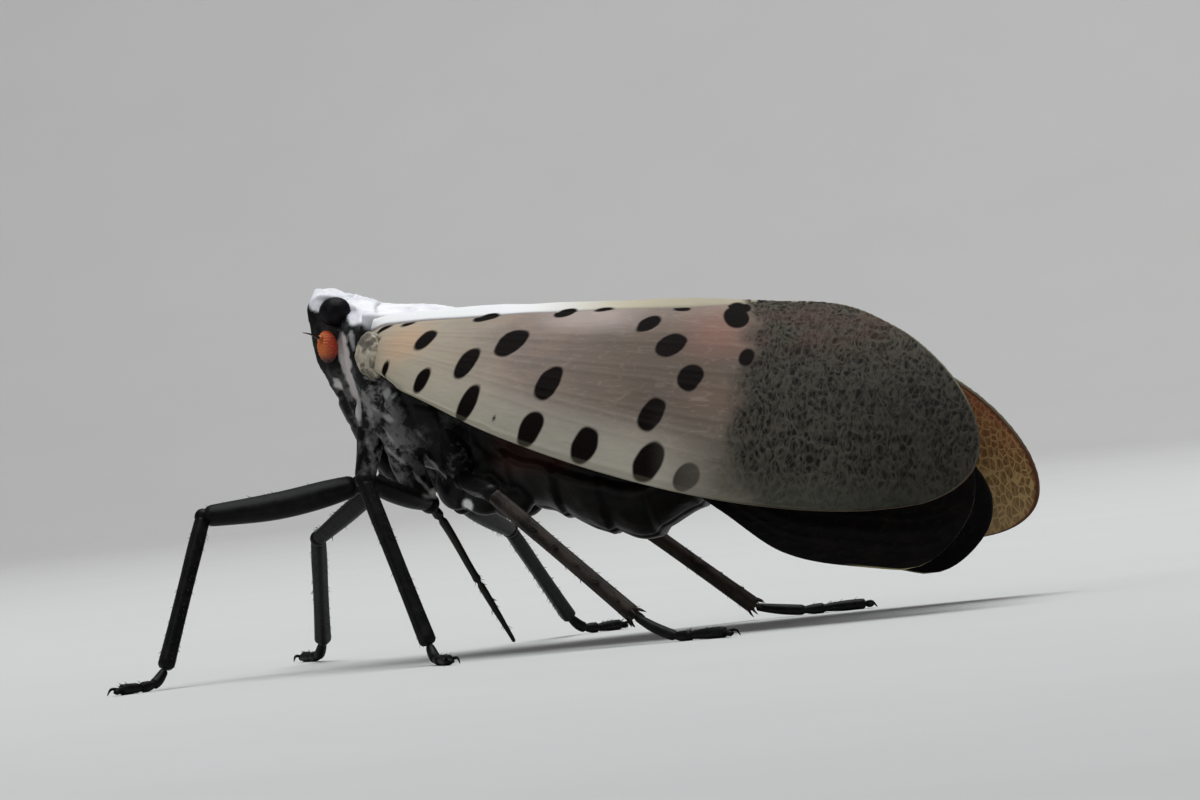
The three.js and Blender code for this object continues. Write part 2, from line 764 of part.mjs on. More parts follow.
for (const [name, side] of Object.entries(sides)) {
  const tegula = ellipsoid(mirrored(tegulaMiddle, side), tegulaSize, 0, 14, 8);
  addNode(`eye_${name}`, geometryOf(eyeSolid(side)), colours.eye);
  addNode(`antenna_${name}`, geometryOf(antennaSolid(side)), colours.orange);
  addNode(`tegula_${name}`, geometryOf(cutBy(tegula, barrelSolid(meetingGap))), colours.wax);
  addNode(`forewing_${name}`, forewing(side), colours.forewing);
  addNode(`hindwing_${name}`, hindwing(side), colours.hindwing);
}

for (const leg of legs) {
  const solids = legSolids(leg);
  for (const [segment, solid] of Object.entries(solids)) {
    addNode(`${segment}_${leg.name}`, geometryOf(solid), colours.leg);
  }
}

// The origin is on the floor, under the middle of the whole insect.
const extent = new THREE.Box3().setFromObject(insect, true);
const middle = extent.getCenter(new THREE.Vector3());
insect.position.set(-middle.x, -middle.y, -extent.min.z);

const model = new THREE.Group();
model.add(insect);

export default model;
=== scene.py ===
import math
from itertools import product

import bpy
import numpy as np
from mathutils import Matrix, Vector


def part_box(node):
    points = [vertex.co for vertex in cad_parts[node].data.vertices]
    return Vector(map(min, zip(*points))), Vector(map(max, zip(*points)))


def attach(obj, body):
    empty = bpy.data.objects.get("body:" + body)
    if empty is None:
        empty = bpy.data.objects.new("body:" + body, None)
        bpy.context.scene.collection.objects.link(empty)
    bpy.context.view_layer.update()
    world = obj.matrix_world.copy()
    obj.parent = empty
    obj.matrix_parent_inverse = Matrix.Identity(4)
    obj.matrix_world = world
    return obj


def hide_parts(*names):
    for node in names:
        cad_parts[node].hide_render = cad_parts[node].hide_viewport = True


# A spotted lanternfly at rest. Shapes are worked out in millimetres, head towards -X, left side
# towards -Y, and are put into the frame, in metres, when a piece is made.
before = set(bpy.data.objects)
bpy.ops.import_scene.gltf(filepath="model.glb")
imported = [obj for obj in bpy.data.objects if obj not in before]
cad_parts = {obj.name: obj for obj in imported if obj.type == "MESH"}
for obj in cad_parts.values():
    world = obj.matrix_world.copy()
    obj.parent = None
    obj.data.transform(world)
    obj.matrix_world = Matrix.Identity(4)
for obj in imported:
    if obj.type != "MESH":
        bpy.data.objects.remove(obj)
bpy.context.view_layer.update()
millimetre = 0.001
# the left eye's place here and in the frame gives the shift between the two
eyeMiddle = np.array([-8.38, -1.72, 13.2])
eyeLow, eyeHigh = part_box("eye_left")
shift = (np.array(eyeLow) + np.array(eyeHigh)) / 2 / millimetre - eyeMiddle
print("frame loaded, shift", shift.round(3))


# Numbers along a line and in space

# the value that lies the part t of the way from a to b
def mix(a, b, t):
    return a + (b - a) * t


# a smooth curve through pairs of place and value, level past its ends
def valueAt(x, pairs):
    table = np.array(pairs, float)
    xs, ys = table[:, 0], table[:, 1]
    x = np.asarray(x, float)
    last = len(xs) - 1
    k = np.clip(np.searchsorted(xs, x, side="right") - 1, 0, last - 1)
    before = np.maximum(k - 1, 0)
    after = np.minimum(k + 2, last)
    span = xs[k + 1] - xs[k]
    t = np.clip((x - xs[k]) / span, 0, 1)
    startSlope = (ys[k + 1] - ys[before]) / (xs[k + 1] - xs[before]) * span
    endSlope = (ys[after] - ys[k]) / (xs[after] - xs[k]) * span
    rise = 3 * t**2 - 2 * t**3
    bends = (t**3 - 2 * t**2 + t) * startSlope + (t**3 - t**2) * endSlope
    return mix(ys[k], ys[k + 1], rise) + bends


# 0 below low, 1 above high and 3t^2 - 2t^3 between them
def smoothStep(value, low, high):
    t = np.clip((value - low) / (high - low), 0, 1)
    return t * t * (3 - 2 * t)


# a bump of height 1 at distance 0 that dies away over the width
def bell(distance, width):
    return np.exp(-((distance / width) ** 2))


# smooth noise from -1 to 1: random numbers on a lattice, blended between its corners
def noiseAt(points, scale, seed):
    size = 24
    table = np.random.default_rng(seed).random((size, size, size))
    place = points * scale
    base = np.floor(place).astype(int)
    part = place - base
    part = part * part * (3 - 2 * part)
    total = np.zeros(points.shape[:-1])
    for corner in product((0, 1), repeat=3):
        index = (base + corner) % size
        weight = np.prod(np.where(np.array(corner) == 1, part, 1 - part), axis=-1)
        total += weight * table[index[..., 0], index[..., 1], index[..., 2]]
    return total * 2 - 1


# a net of cells: near 0 on the lines between the cells of a jittered lattice, larger inside them
def netField(a, b, seed, jitter=0.38):
    size = 64
    shifts = (np.random.default_rng(seed).random((size, size, 2)) * 2 - 1) * jitter + 0.5
    baseA = np.floor(a).astype(int)
    baseB = np.floor(b).astype(int)
    nearest = np.full(a.shape, 9.0)
    second = np.full(a.shape, 9.0)
    for i, j in product((-1, 0, 1), repeat=2):
        seeds = shifts[(baseA + i) % size, (baseB + j) % size]
        gap = np.hypot(baseA + i + seeds[..., 0] - a, baseB + j + seeds[..., 1] - b)
        second = np.minimum(second, np.maximum(nearest, gap))
        nearest = np.minimum(nearest, gap)
    return second - nearest


# vectors of the same direction, each divided by its own length
def unit(vectors):
    return vectors / np.maximum(np.linalg.norm(vectors, axis=-1, keepdims=True), 1e-12)


# Surfaces: a part is its points, its quads and its triangles

# the quads between neighbouring rows and columns of a grid of points
def gridFaces(rows, columns, closed):
    i = np.arange(rows - 1)[:, None]
    j = np.arange(columns if closed else columns - 1)[None, :]
    after = (j + 1) % columns
    corners = [i * columns + j, (i + 1) * columns + j, (i + 1) * columns + after, i * columns + after]
    return np.stack(np.broadcast_arrays(*corners), -1).reshape(-1, 4)


def noTriangles():
    return np.zeros((0, 3), int)


# turns a closed part's faces outwards, by the sign of the volume that they enclose
def facingOut(part):
    points, quads, triangles = part
    fans = [quads[:, [0, 1, 2]], quads[:, [0, 2, 3]], triangles]
    corners = points[np.concatenate(fans)]
    volume = np.einsum("ij,ij->i", corners[:, 0], np.cross(corners[:, 1], corners[:, 2])).sum()
    if volume < 0:
        return points, quads[:, ::-1], triangles[:, ::-1]
    return part


# a closed surface over rings of points, with a fan over each end
def closedLoft(rings):
    rows, columns = rings.shape[:2]
    points = np.concatenate([rings.reshape(-1, 3), rings[0].mean(0)[None], rings[-1].mean(0)[None]])
    count = rows * columns
    here = np.arange(columns)
    after = (here + 1) % columns
    first = np.stack([np.full(columns, count), after, here], -1)
    final = np.stack([np.full(columns, count + 1), count - columns + here, count - columns + after], -1)
    return facingOut((points, gridFaces(rows, columns, True), np.concatenate([first, final])))


# a closed sheet between an outer and an inner grid of points, with a rim round it
def closedSheet(outer, inner):
    rows, columns = outer.shape[:2]
    count = rows * columns
    faces = gridFaces(rows, columns, False)
    top = np.arange(columns)
    side = np.arange(rows)
    loops = [top, side * columns + columns - 1, top[::-1] + (rows - 1) * columns, side[::-1] * columns]
    rim = np.concatenate([loop[:-1] for loop in loops])
    after = np.roll(rim, -1)
    band = np.stack([rim, after, after + count, rim + count], -1)
    points = np.concatenate([outer.reshape(-1, 3), inner.reshape(-1, 3)])
    return facingOut((points, np.concatenate([faces, faces[:, ::-1] + count, band]), noTriangles()))


# several parts as one, with their points numbered on
def joinParts(parts):
    offsets = np.cumsum([0] + [len(part[0]) for part in parts[:-1]])
    points = np.concatenate([part[0] for part in parts])
    quads = np.concatenate([part[1] + offset for part, offset in zip(parts, offsets)])
    triangles = np.concatenate([part[2] + offset for part, offset in zip(parts, offsets)])
    return points, quads, triangles


# a smooth path through a few points, at even steps of its length
def pathThrough(points, count):
    points = np.array(points, float)
    lengths = np.concatenate([[0], np.cumsum(np.linalg.norm(np.diff(points, axis=0), axis=1))])
    places = np.linspace(0, lengths[-1], count)
    columns = [valueAt(places, np.stack([lengths, points[:, axis]], -1)) for axis in range(3)]
    return np.stack(columns, -1)


# rings round a path: the radius may change along it and round it, flat squeezes one way, and square
# swells four corners
def tubeRings(path, radii, sides, flat=1.0, square=0.0):
    along = unit(np.gradient(path, axis=0))
    axis = unit(path[-1] - path[0])
    upright = np.array([1.0, 0, 0]) if abs(axis[2]) > 0.8 else np.array([0, 0, 1.0])
    across = unit(np.cross(upright, along))
    over = np.cross(along, across)
    angle = np.linspace(0, 2 * math.pi, sides, endpoint=False)[None, :, None]
    size = np.broadcast_to(np.asarray(radii, float).reshape(len(path), -1), (len(path), sides))
    size = size[..., None] * (1 + square * np.cos(4 * angle))
    return path[:, None] + (across[:, None] * np.cos(angle) + over[:, None] * np.sin(angle) * flat) * size


# radii that close at both ends of a path as a quarter circle does, blunt times the radius long
def roundedEnds(radii, path, blunt=1.0):
    gaps = np.linalg.norm(np.diff(path, axis=0), axis=1)
    place = np.concatenate([[0], np.cumsum(gaps)])
    reach = radii * blunt
    start = np.clip(place / np.maximum(reach, 1e-9), 0, 1)
    end = np.clip((place[-1] - place) / np.maximum(reach, 1e-9), 0, 1)
    closing = [np.sqrt(np.clip(1 - (1 - part) ** 2, 0.0004, 1)) for part in (start, end)]
    return radii * closing[0] * closing[1]


# a tube through a few points: its radii are spread evenly along it, and its ends are rounded
def tube(points, radii, count=40, sides=24, blunt=1.0, **shape):
    path = pathThrough(points, count)
    places = np.linspace(0, 1, len(radii))
    size = valueAt(np.linspace(0, 1, count), np.stack([places, radii], -1))
    return closedLoft(tubeRings(path, roundedEnds(size, path, blunt), sides, **shape))


# an egg or ball: rings from pole to pole, with a relief that may push its surface out
def ball(middle, sizes, rows=40, columns=60, relief=None):
    poleGap = 0.02
    tilt = np.linspace(poleGap, math.pi - poleGap, rows)[:, None]
    turn = np.linspace(0, 2 * math.pi, columns, endpoint=False)[None, :]
    out = np.stack([np.sin(tilt) * np.cos(turn), np.sin(tilt) * np.sin(turn), np.cos(tilt) + 0 * turn], -1)
    push = 0 if relief is None else relief(out)[..., None]
    return closedLoft(np.array(middle) + out * (np.array(sizes) + push))


# many small spines at once, each a five-sided cone that narrows to its tip
def spinesOn(roots, tips, radii):
    sides = 5
    along = unit(tips - roots)
    helper = np.where(np.abs(along[:, 2:]) > 0.8, [[1.0, 0, 0]], [[0, 0, 1.0]])
    across = unit(np.cross(helper, along))
    over = np.cross(along, across)
    angle = np.linspace(0, 2 * math.pi, sides, endpoint=False)
    ring = across[:, None] * np.cos(angle)[None, :, None] + over[:, None] * np.sin(angle)[None, :, None]
    places = [(0.0, 1.0), (0.5, 0.62)]
    rings = []
    for place, size in places:
        middle = mix(roots, tips, place)
        rings.append(middle[:, None] + ring * (np.asarray(radii) * size)[:, None, None])
    points = np.concatenate([*rings, tips[:, None], roots[:, None]], axis=1)
    here = np.arange(sides)
    after = (here + 1) % sides
    quads = np.stack([here, after, after + sides, here + sides], -1)
    end = np.stack([here + sides, after + sides, np.full(sides, 2 * sides)], -1)
    start = np.stack([after, here, np.full(sides, 2 * sides + 1)], -1)
    offsets = (np.arange(len(roots)) * points.shape[1])[:, None, None]
    triangles = (np.concatenate([end, start])[None] + offsets).reshape(-1, 3)
    return points.reshape(-1, 3), (quads[None] + offsets).reshape(-1, 4), triangles


# puts a part into the frame as an object, with numbers per point that its material reads
def makePiece(name, part, material, attributes=None):
    points, quads, triangles = part
    mesh = bpy.data.meshes.new(name)
    mesh.vertices.add(len(points))
    mesh.vertices.foreach_set("co", ((points + shift) * millimetre).astype(np.float32).ravel())
    corners = np.concatenate([quads.ravel(), triangles.ravel()])
    starts = np.concatenate([np.arange(len(quads)) * 4, len(quads) * 4 + np.arange(len(triangles)) * 3])
    mesh.loops.add(len(corners))
    mesh.loops.foreach_set("vertex_index", corners.astype(np.int32))
    mesh.polygons.add(len(starts))
    mesh.polygons.foreach_set("loop_start", starts.astype(np.int32))
    mesh.polygons.foreach_set("use_smooth", np.ones(len(starts), bool))
    mesh.update(calc_edges=True)
    for key, values in (attributes or {}).items():
        layer = mesh.attributes.new(key, "FLOAT", "POINT")
        layer.data.foreach_set("value", np.asarray(values, np.float32).ravel())
    mesh.materials.append(material)
    piece = bpy.data.objects.new(name, mesh)
    bpy.context.scene.collection.objects.link(piece)
    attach(piece, "root")
    print("made", name, len(quads) * 2 + len(triangles), "triangles")
    return piece


# Shader sums: a wire wraps one socket, and sums on it add Math nodes
class Wire:
    def __init__(self, tree, socket=None):
        self.tree = tree
        self.socket = socket

    # a new node: its settings go in first, then the values or links of its sockets
    def node(self, kind, settings=None, sockets=None, output=0):
        made = self.tree.nodes.new(kind)
        for key, value in (settings or {}).items():
            setattr(made, key, value)
        for key, value in (sockets or {}).items():
            if isinstance(value, Wire):
                self.tree.links.new(value.socket, made.inputs[key])
            else:
                made.inputs[key].default_value = value
        return Wire(self.tree, made.outputs[output])

    def maths(self, operation, *values):
        return self.node("ShaderNodeMath", {"operation": operation}, dict(enumerate(values)))

    def __add__(self, other):
        return self.maths("ADD", self, other)

    def __sub__(self, other):
        return self.maths("SUBTRACT", self, other)

    def __rsub__(self, other):
        return self.maths("SUBTRACT", other, self)

    def __mul__(self, other):
        return self.maths("MULTIPLY", self, other)

    __radd__ = __add__
    __rmul__ = __mul__

    def __abs__(self):
        return self.maths("ABSOLUTE", self)

    # 0 below low and 1 above high, smoothly between
    def step(self, low, high):
        sockets = {"Value": self, "From Min": low, "From Max": high}
        return self.node("ShaderNodeMapRange", {"interpolation_type": "SMOOTHSTEP"}, sockets)


# a colour from the 0 to 255 values of a screen
def paint(red, green, blue):
    channels = [value / 255 for value in (red, green, blue)]
    linear = [c / 12.92 if c <= 0.04045 else ((c + 0.055) / 1.055) ** 2.4 for c in channels]
    return (*linear, 1.0)


def newMaterial(name):
    material = bpy.data.materials.new(name)
    material.use_nodes = True
    return material, Wire(material.node_tree)


def mixColours(base, factor, first, second):
    settings = {"data_type": "RGBA", "clamp_factor": True}
    return base.node("ShaderNodeMix", settings, {0: factor, 6: first, 7: second}, 2)


def attribute(base, name):
    return base.node("ShaderNodeAttribute", {"attribute_name": name}, output=2)


def place3D(base, x, y, z):
    return base.node("ShaderNodeCombineXYZ", None, {0: x, 1: y, 2: z})


def noise(base, where, scale, detail=3.0, rough=0.55, warp=0.0):
    sockets = {"Vector": where, "Scale": scale, "Detail": detail, "Roughness": rough, "Distortion": warp}
    return base.node("ShaderNodeTexNoise", None, sockets)


def objectPlace(base):
    return base.node("ShaderNodeTexCoord", output=3)


# sets the surface: constants go on the shader's own sockets, and a height makes the bump
def finish(material, base, values, height=None, depth=0.02):
    surface = material.node_tree.nodes["Principled BSDF"]
    if height is not None:
        sockets = {"Strength": 1.0, "Distance": depth * millimetre, "Height": height}
        values = {**values, "Normal": base.node("ShaderNodeBump", None, sockets)}
    for key, value in values.items():
        if isinstance(value, Wire):
            material.node_tree.links.new(value.socket, surface.inputs[key])
        else:
            surface.inputs[key].default_value = value
    return material


# Forewings: the same surface as the frame's wings, thinner and with finer veins

shield = {"front": -6.95, "tip": -3.1, "half": 2.05, "tipHalf": 0.14, "gap": 0.3, "spare": 0.15}

forewing = {
    "start": -6.85,
    "formStart": -5.95,
    "length": 21.75,
    "halfWidth": 6.3,
    "columns": 340,
    "rows": 138,
    "thickness": 0.1,
    "lift": 0.12,
    "crowding": ([0, 0.42, 1], [0, 0.585, 1]),
    "mainVein": 0.027,
    "mainVeinWidth": 0.09,
    "fineVein": 0.012,
    "fineVeinWidth": 0.06,
    "netCell": (0.25, 0.44),
    "netHeight": 0.022,
    "paleCell": (1.15, 0.2),
    "paleNetHeight": 0.005,
    "hemHeight": 0.02,
    "foldDepth": 0.05,
    "rootDip": 0.3,
    "claval": [[-6.75, 0.45], [-5.73, 0.64], [-2.71, 0.99], [0.26, 0.9], [1.64, 0.84], [4.52, 0.8],
               [6.8, 0.45], [8, 0]],
    "darkFrom": [[0, 6.95], [0.3, 7.3], [0.42, 7.45], [0.6, 7.0], [0.76, 6.5], [1, 6.85]],
    "seam": 0.05,
    "pitchRight": math.radians(4.7),
    "stretchRight": 0.86,
    "root": np.array([-5.95, 0, 11.4]),
}

# each vein's line: how far down from the ridge it lies, from the root to the end of the wing
mainVeins = [
    ([[0, 0.38], [0.45, 0.31], [1, 0.2]], 0.97),
    ([[0, 0.42], [0.45, 0.36], [1, 0.36]], 0.97),
    ([[0, 0.5], [0.4, 0.49], [1, 0.48]], 0.97),
    ([[0, 0.54], [0.4, 0.54], [1, 0.61]], 0.97),
    ([[0, 0.62], [0.35, 0.67], [1, 0.73]], 0.97),
    ([[0, 0.66], [0.35, 0.72], [1, 0.86]], 0.97),
]
fineVeins = [
    [[0.0, 0.4], [0.45, 0.335], [1, 0.28]],
    [[0.0, 0.46], [0.45, 0.425], [1, 0.42]],
    [[0.0, 0.52], [0.4, 0.515], [1, 0.545]],
    [[0.0, 0.58], [0.4, 0.605], [1, 0.67]],
    [[0.0, 0.64], [0.35, 0.695], [1, 0.795]],
    [[0.0, 0.72], [0.35, 0.8], [1, 0.93]],
    [[0.0, 0.33], [0.45, 0.25], [1, 0.13]],
]

# the dark spots, measured along the body and down from the ridge: middle, half sizes and lean
wingSpots = [
    (-5.4, 0.82, 0.27, 0.11, -6),
    (-2.7, 1.14, 0.46, 0.24, -16),
    (0.23, 1.04, 0.48, 0.26, -36),
    (1.68, 0.89, 0.34, 0.17, -10),
    (4.58, 1.0, 0.34, 0.18, 0),
    (6.72, 0.86, 0.5, 0.4, 60),
    (6.68, 1.55, 0.72, 0.46, 78),
    (-4.72, 1.91, 0.45, 0.29, -53),
    (-3.14, 3.63, 0.67, 0.36, -66),
    (-1.55, 2.9, 0.82, 0.46, -60),
    (-0.02, 4.99, 0.8, 0.43, -64),
    (-4.77, 3.59, 0.42, 0.27, -57),
    (-2.99, 5.35, 0.64, 0.34, -60),
    (-2.01, 6.32, 0.15, 0.08, -71),
    (-0.64, 6.86, 0.7, 0.4, -63),
    (1.39, 7.6, 0.74, 0.46, -60),
    (3.5, 2.02, 0.6, 0.34, -52),
    (4.43, 3.29, 0.68, 0.48, -60),
    (5.26, 4.88, 0.62, 0.45, -74),
    (3.87, 6.53, 0.74, 0.43, -64),
    (3.77, 8.36, 0.84, 0.5, -56),
    (5.15, 8.98, 0.58, 0.4, -55),
    (7.27, 3.84, 0.46, 0.27, -79),
    (-6.19, 2.44, 0.26, 0.13, -70),
    (-6.3, 0.72, 0.36, 0.11, -12),
    (-6.62, 1.12, 0.24, 0.1, -10),
]


# half the width of the shield, which narrows evenly from its front to its tip
def shieldHalfWidth(x):
    return mix(shield["half"], shield["tipHalf"], (x - shield["front"]) / (shield["tip"] - shield["front"]))


# the skin of the shield fills half of the gap that parts it from the wings in the solids
def shieldSkinHalf(x):
    return np.maximum(shieldHalfWidth(x), shield["tipHalf"]) + shield["spare"]


# the wing's margin runs beside the shield, and then beside the middle line
def innerMargin(x):
    return np.maximum(shieldHalfWidth(x) + shield["gap"], forewing["seam"])


# the ridge falls as the square of the distance from the root, with a shallow dip and a rise at the end
def ridgeHeight(x):
    return 12.73 - 0.0052 * (x + 6) ** 2 - 0.07 * bell(x - 0.8, 2.6) + 0.12 * smoothStep(x, 8, 11)


# the lower margin rises towards the root as a power of the distance, with a small bump at the root
def lowerHeight(x):
    return 3.9 + 6.4 * np.maximum((12 - x) / 18.4, 0) ** 1.65 + 0.16 * bell(x + 5, 1.7)


# the lower margin stands out most near the end, and less by the square of the distance from there
def lowerReach(x):
    return forewing["halfWidth"] - 2.9 * ((9 - x) / 15.4) ** 2


# the wing's root: rounded off towards the ridge and cut back at the lower margin
def wingStart(v):
    return forewing["start"] + 0.3 * (v - 0.62) ** 2 + 0.9 * smoothStep(v, 0.85, 1)


# the wing's end: an egg-shaped outline that is roundest three quarters of the way down
def wingEnd(v):
    upper, widest = 9.3, 0.75
    reach = forewing["formStart"] + forewing["length"] - upper
    high = np.clip((widest - v) / widest, 0, 1) ** 1.7
    low = np.clip((v - widest) / (1 - widest), 0, 1) ** 2.5
    return upper + reach * np.where(v < widest, (1 - high) ** 0.77, 0.54 + 0.46 * np.sqrt(1 - low))


# a cubic curve from the ridge (y0, z0) out and down to the lower margin (y1, z1)
def roofSection(v, y0, z0, y1, z1, bulge):
    fall = z0 - z1
    w = 1 - v
    weights = [w**3, 3 * w * w * v, 3 * w * v * v, v**3]
    ys = [y0, mix(y0, y1, 0.42), mix(y0, y1, bulge), y1]
    zs = [z0, z0 - 0.1 * fall, z1 + 0.42 * fall, z1]
    return sum(a * b for a, b in zip(weights, ys)), sum(a * b for a, b in zip(weights, zs))


# the section at x, from the ridge at v = 0 to the lower margin at v = 1
def forewingSection(x, v):
    return roofSection(v, innerMargin(x), ridgeHeight(x), lowerReach(x), lowerHeight(x), 0.92)


# the arc from the ridge down to v in the section at x, as a sum of short chords
def arcDown(x, v, section):
    t = np.linspace(0, 1, 25)[:, None, None] * v
    y, z = section(x[None], t)
    return np.hypot(np.diff(y, axis=0), np.diff(z, axis=0)).sum(axis=0)


# shapes are made on the right: the left pair is their mirror image, and the right pair is turned down at
# the rear about its root
def heldWing(points, side):
    if side < 0:
        return points * np.array([1, -1, 1])
    cosine, sine = math.cos(forewing["pitchRight"]), math.sin(forewing["pitchRight"])
    turn = np.array([[cosine, 0, sine], [0, 1, 0], [-sine, 0, cosine]])
    return (points - forewing["root"]) @ turn.T + forewing["root"]


# directions at right angles to a grid of points, from the steps along its rows and columns
def surfaceNormals(grid):
    return unit(np.cross(np.gradient(grid, axis=0), np.gradient(grid, axis=1)))


# how far each point is outside the nearest spot, in millimetres, and below 0 inside one
def spotField(x, s):
    wobble = noiseAt(np.stack([x, s, 0 * x], -1), 2.3, 5) * 0.05
    field = np.full(x.shape, 9.0)
    for spotX, spotS, halfLong, halfWide, lean in wingSpots:
        turn = math.radians(lean)
        along = (x - spotX) * math.cos(turn) + (s - spotS) * math.sin(turn)
        across = (s - spotS) * math.cos(turn) - (x - spotX) * math.sin(turn)
        size = math.sqrt(halfLong * halfWide)
        radius = (np.abs(along / halfLong) ** 2.2 + np.abs(across / halfWide) ** 2.2) ** (1 / 2.2)
        field = np.minimum(field, (radius - 1) * size)
    return field + wobble


# the wing's surface, raised by its veins and net, as a thin closed sheet
def forewingPiece(side, material):
    # the columns stand closer in the net at the end of the wing
    u = np.interp(np.linspace(0, 1, forewing["columns"] + 1), *forewing["crowding"])[:, None]
    v = np.linspace(0, 1, forewing["rows"] + 1)[None, :]
    x = mix(wingStart(v), wingEnd(v), u)
    y, z = forewingSection(x, v + 0 * u)
    middle = np.stack([x, y, z], -1)
    s = arcDown(x, v + 0 * u, forewingSection)
    chord = s[:, -1:]
    u0 = (x - forewing["formStart"]) / (wingEnd(v) - forewing["formStart"])
    veins = np.zeros(x.shape)
    for line, until in mainVeins:
        gap = (v - valueAt(np.clip(u0, 0, 1), line)) * chord
        veins = np.maximum(veins, bell(gap, forewing["mainVeinWidth"]) * smoothStep(until - u0, 0, 0.06))
    fine = np.zeros(x.shape)
    for line in fineVeins:
        gap = (v - valueAt(np.clip(u0, 0, 1), line)) * chord
        fine = np.maximum(fine, bell(gap, forewing["fineVeinWidth"]) * smoothStep(0.98 - u0, 0, 0.06))
    # the claval fold: a line near the ridge from the root until it meets the margin
    fold = s - valueAt(x, forewing["claval"])
    # the boundary between the pale spotted part and the dark net
    where = np.stack([x, s, 0 * x], -1)
    boundary = valueAt(v + 0 * u, forewing["darkFrom"])
    tip = x - boundary + noiseAt(where, 1.1, 8) * 0.4 + noiseAt(where, 3.1, 9) * 0.16
    darkness = smoothStep(tip, -0.5, 0.6)
    warp = noiseAt(where, 1.5, 3) * 0.6
    sway = noiseAt(where, 1.9, 33) * 0.4
    netLong, netDeep = forewing["netCell"]
    paleLong, paleDeep = forewing["paleCell"]
    tipNet = netField((x + 0.2 * s) / netLong + warp, s / netDeep + sway, 11, 0.34)
    baseNet = netField(x / paleLong + warp, s / paleDeep, 12)
    ridges = smoothStep(0.42 - tipNet, 0, 0.4) * darkness * forewing["netHeight"]
    ridges += smoothStep(0.25 - baseNet, 0, 0.25) * (1 - darkness) * forewing["paleNetHeight"]
    fanned = veins * forewing["mainVein"] + fine * forewing["fineVein"]
    relief = fanned * (1 - 0.7 * darkness) * smoothStep(u0, 0, 0.3) + ridges
    relief += forewing["hemHeight"] * bell(s - chord + 0.06, 0.1) - forewing["foldDepth"] * bell(fold, 0.07)
    rootDip = bell(x - wingStart(v), 0.3) * (0.35 + 0.65 * smoothStep(v, 0.05, 0.3))
    relief += 0.03 * noiseAt(where, 0.8, 21) - forewing["rootDip"] * rootDip
    normals = surfaceNormals(middle)
    outer = middle + normals * (forewing["lift"] + forewing["thickness"] / 2 + relief)[..., None]
    inner = middle + normals * (forewing["lift"] - forewing["thickness"] / 2 + 0.4 * relief)[..., None]
    inner -= normals * (0.18 * rootDip)[..., None]
    if side > 0:
        reach = forewing["stretchRight"] * np.clip((x - 2) / 12, 0, 1)
        outer[..., 0] += reach
        inner[..., 0] += reach
    part = closedSheet(heldWing(outer, side), heldWing(inner, side))
    edge = np.minimum(chord - s, (1 - u) * (wingEnd(v) - forewing["start"]))
    fields = {
        "along": x, "across": s, "chord": chord + 0 * x, "spots": spotField(x, s), "tip": tip, "fold": fold,
        "tipNet": tipNet, "baseNet": baseNet, "veins": np.maximum(veins, 0.6 * fine), "edge": edge,
        "fan": v + 0 * x,
    }
    both = {key: np.concatenate([field.ravel(), field.ravel()]) for key, field in fields.items()}
    both["inner"] = np.concatenate([np.zeros(x.size), np.ones(x.size)])
    name = "left" if side < 0 else "right"
    piece = makePiece(f"forewing_{name}_skin", part, material, both)
    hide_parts(f"forewing_{name}")
    return piece


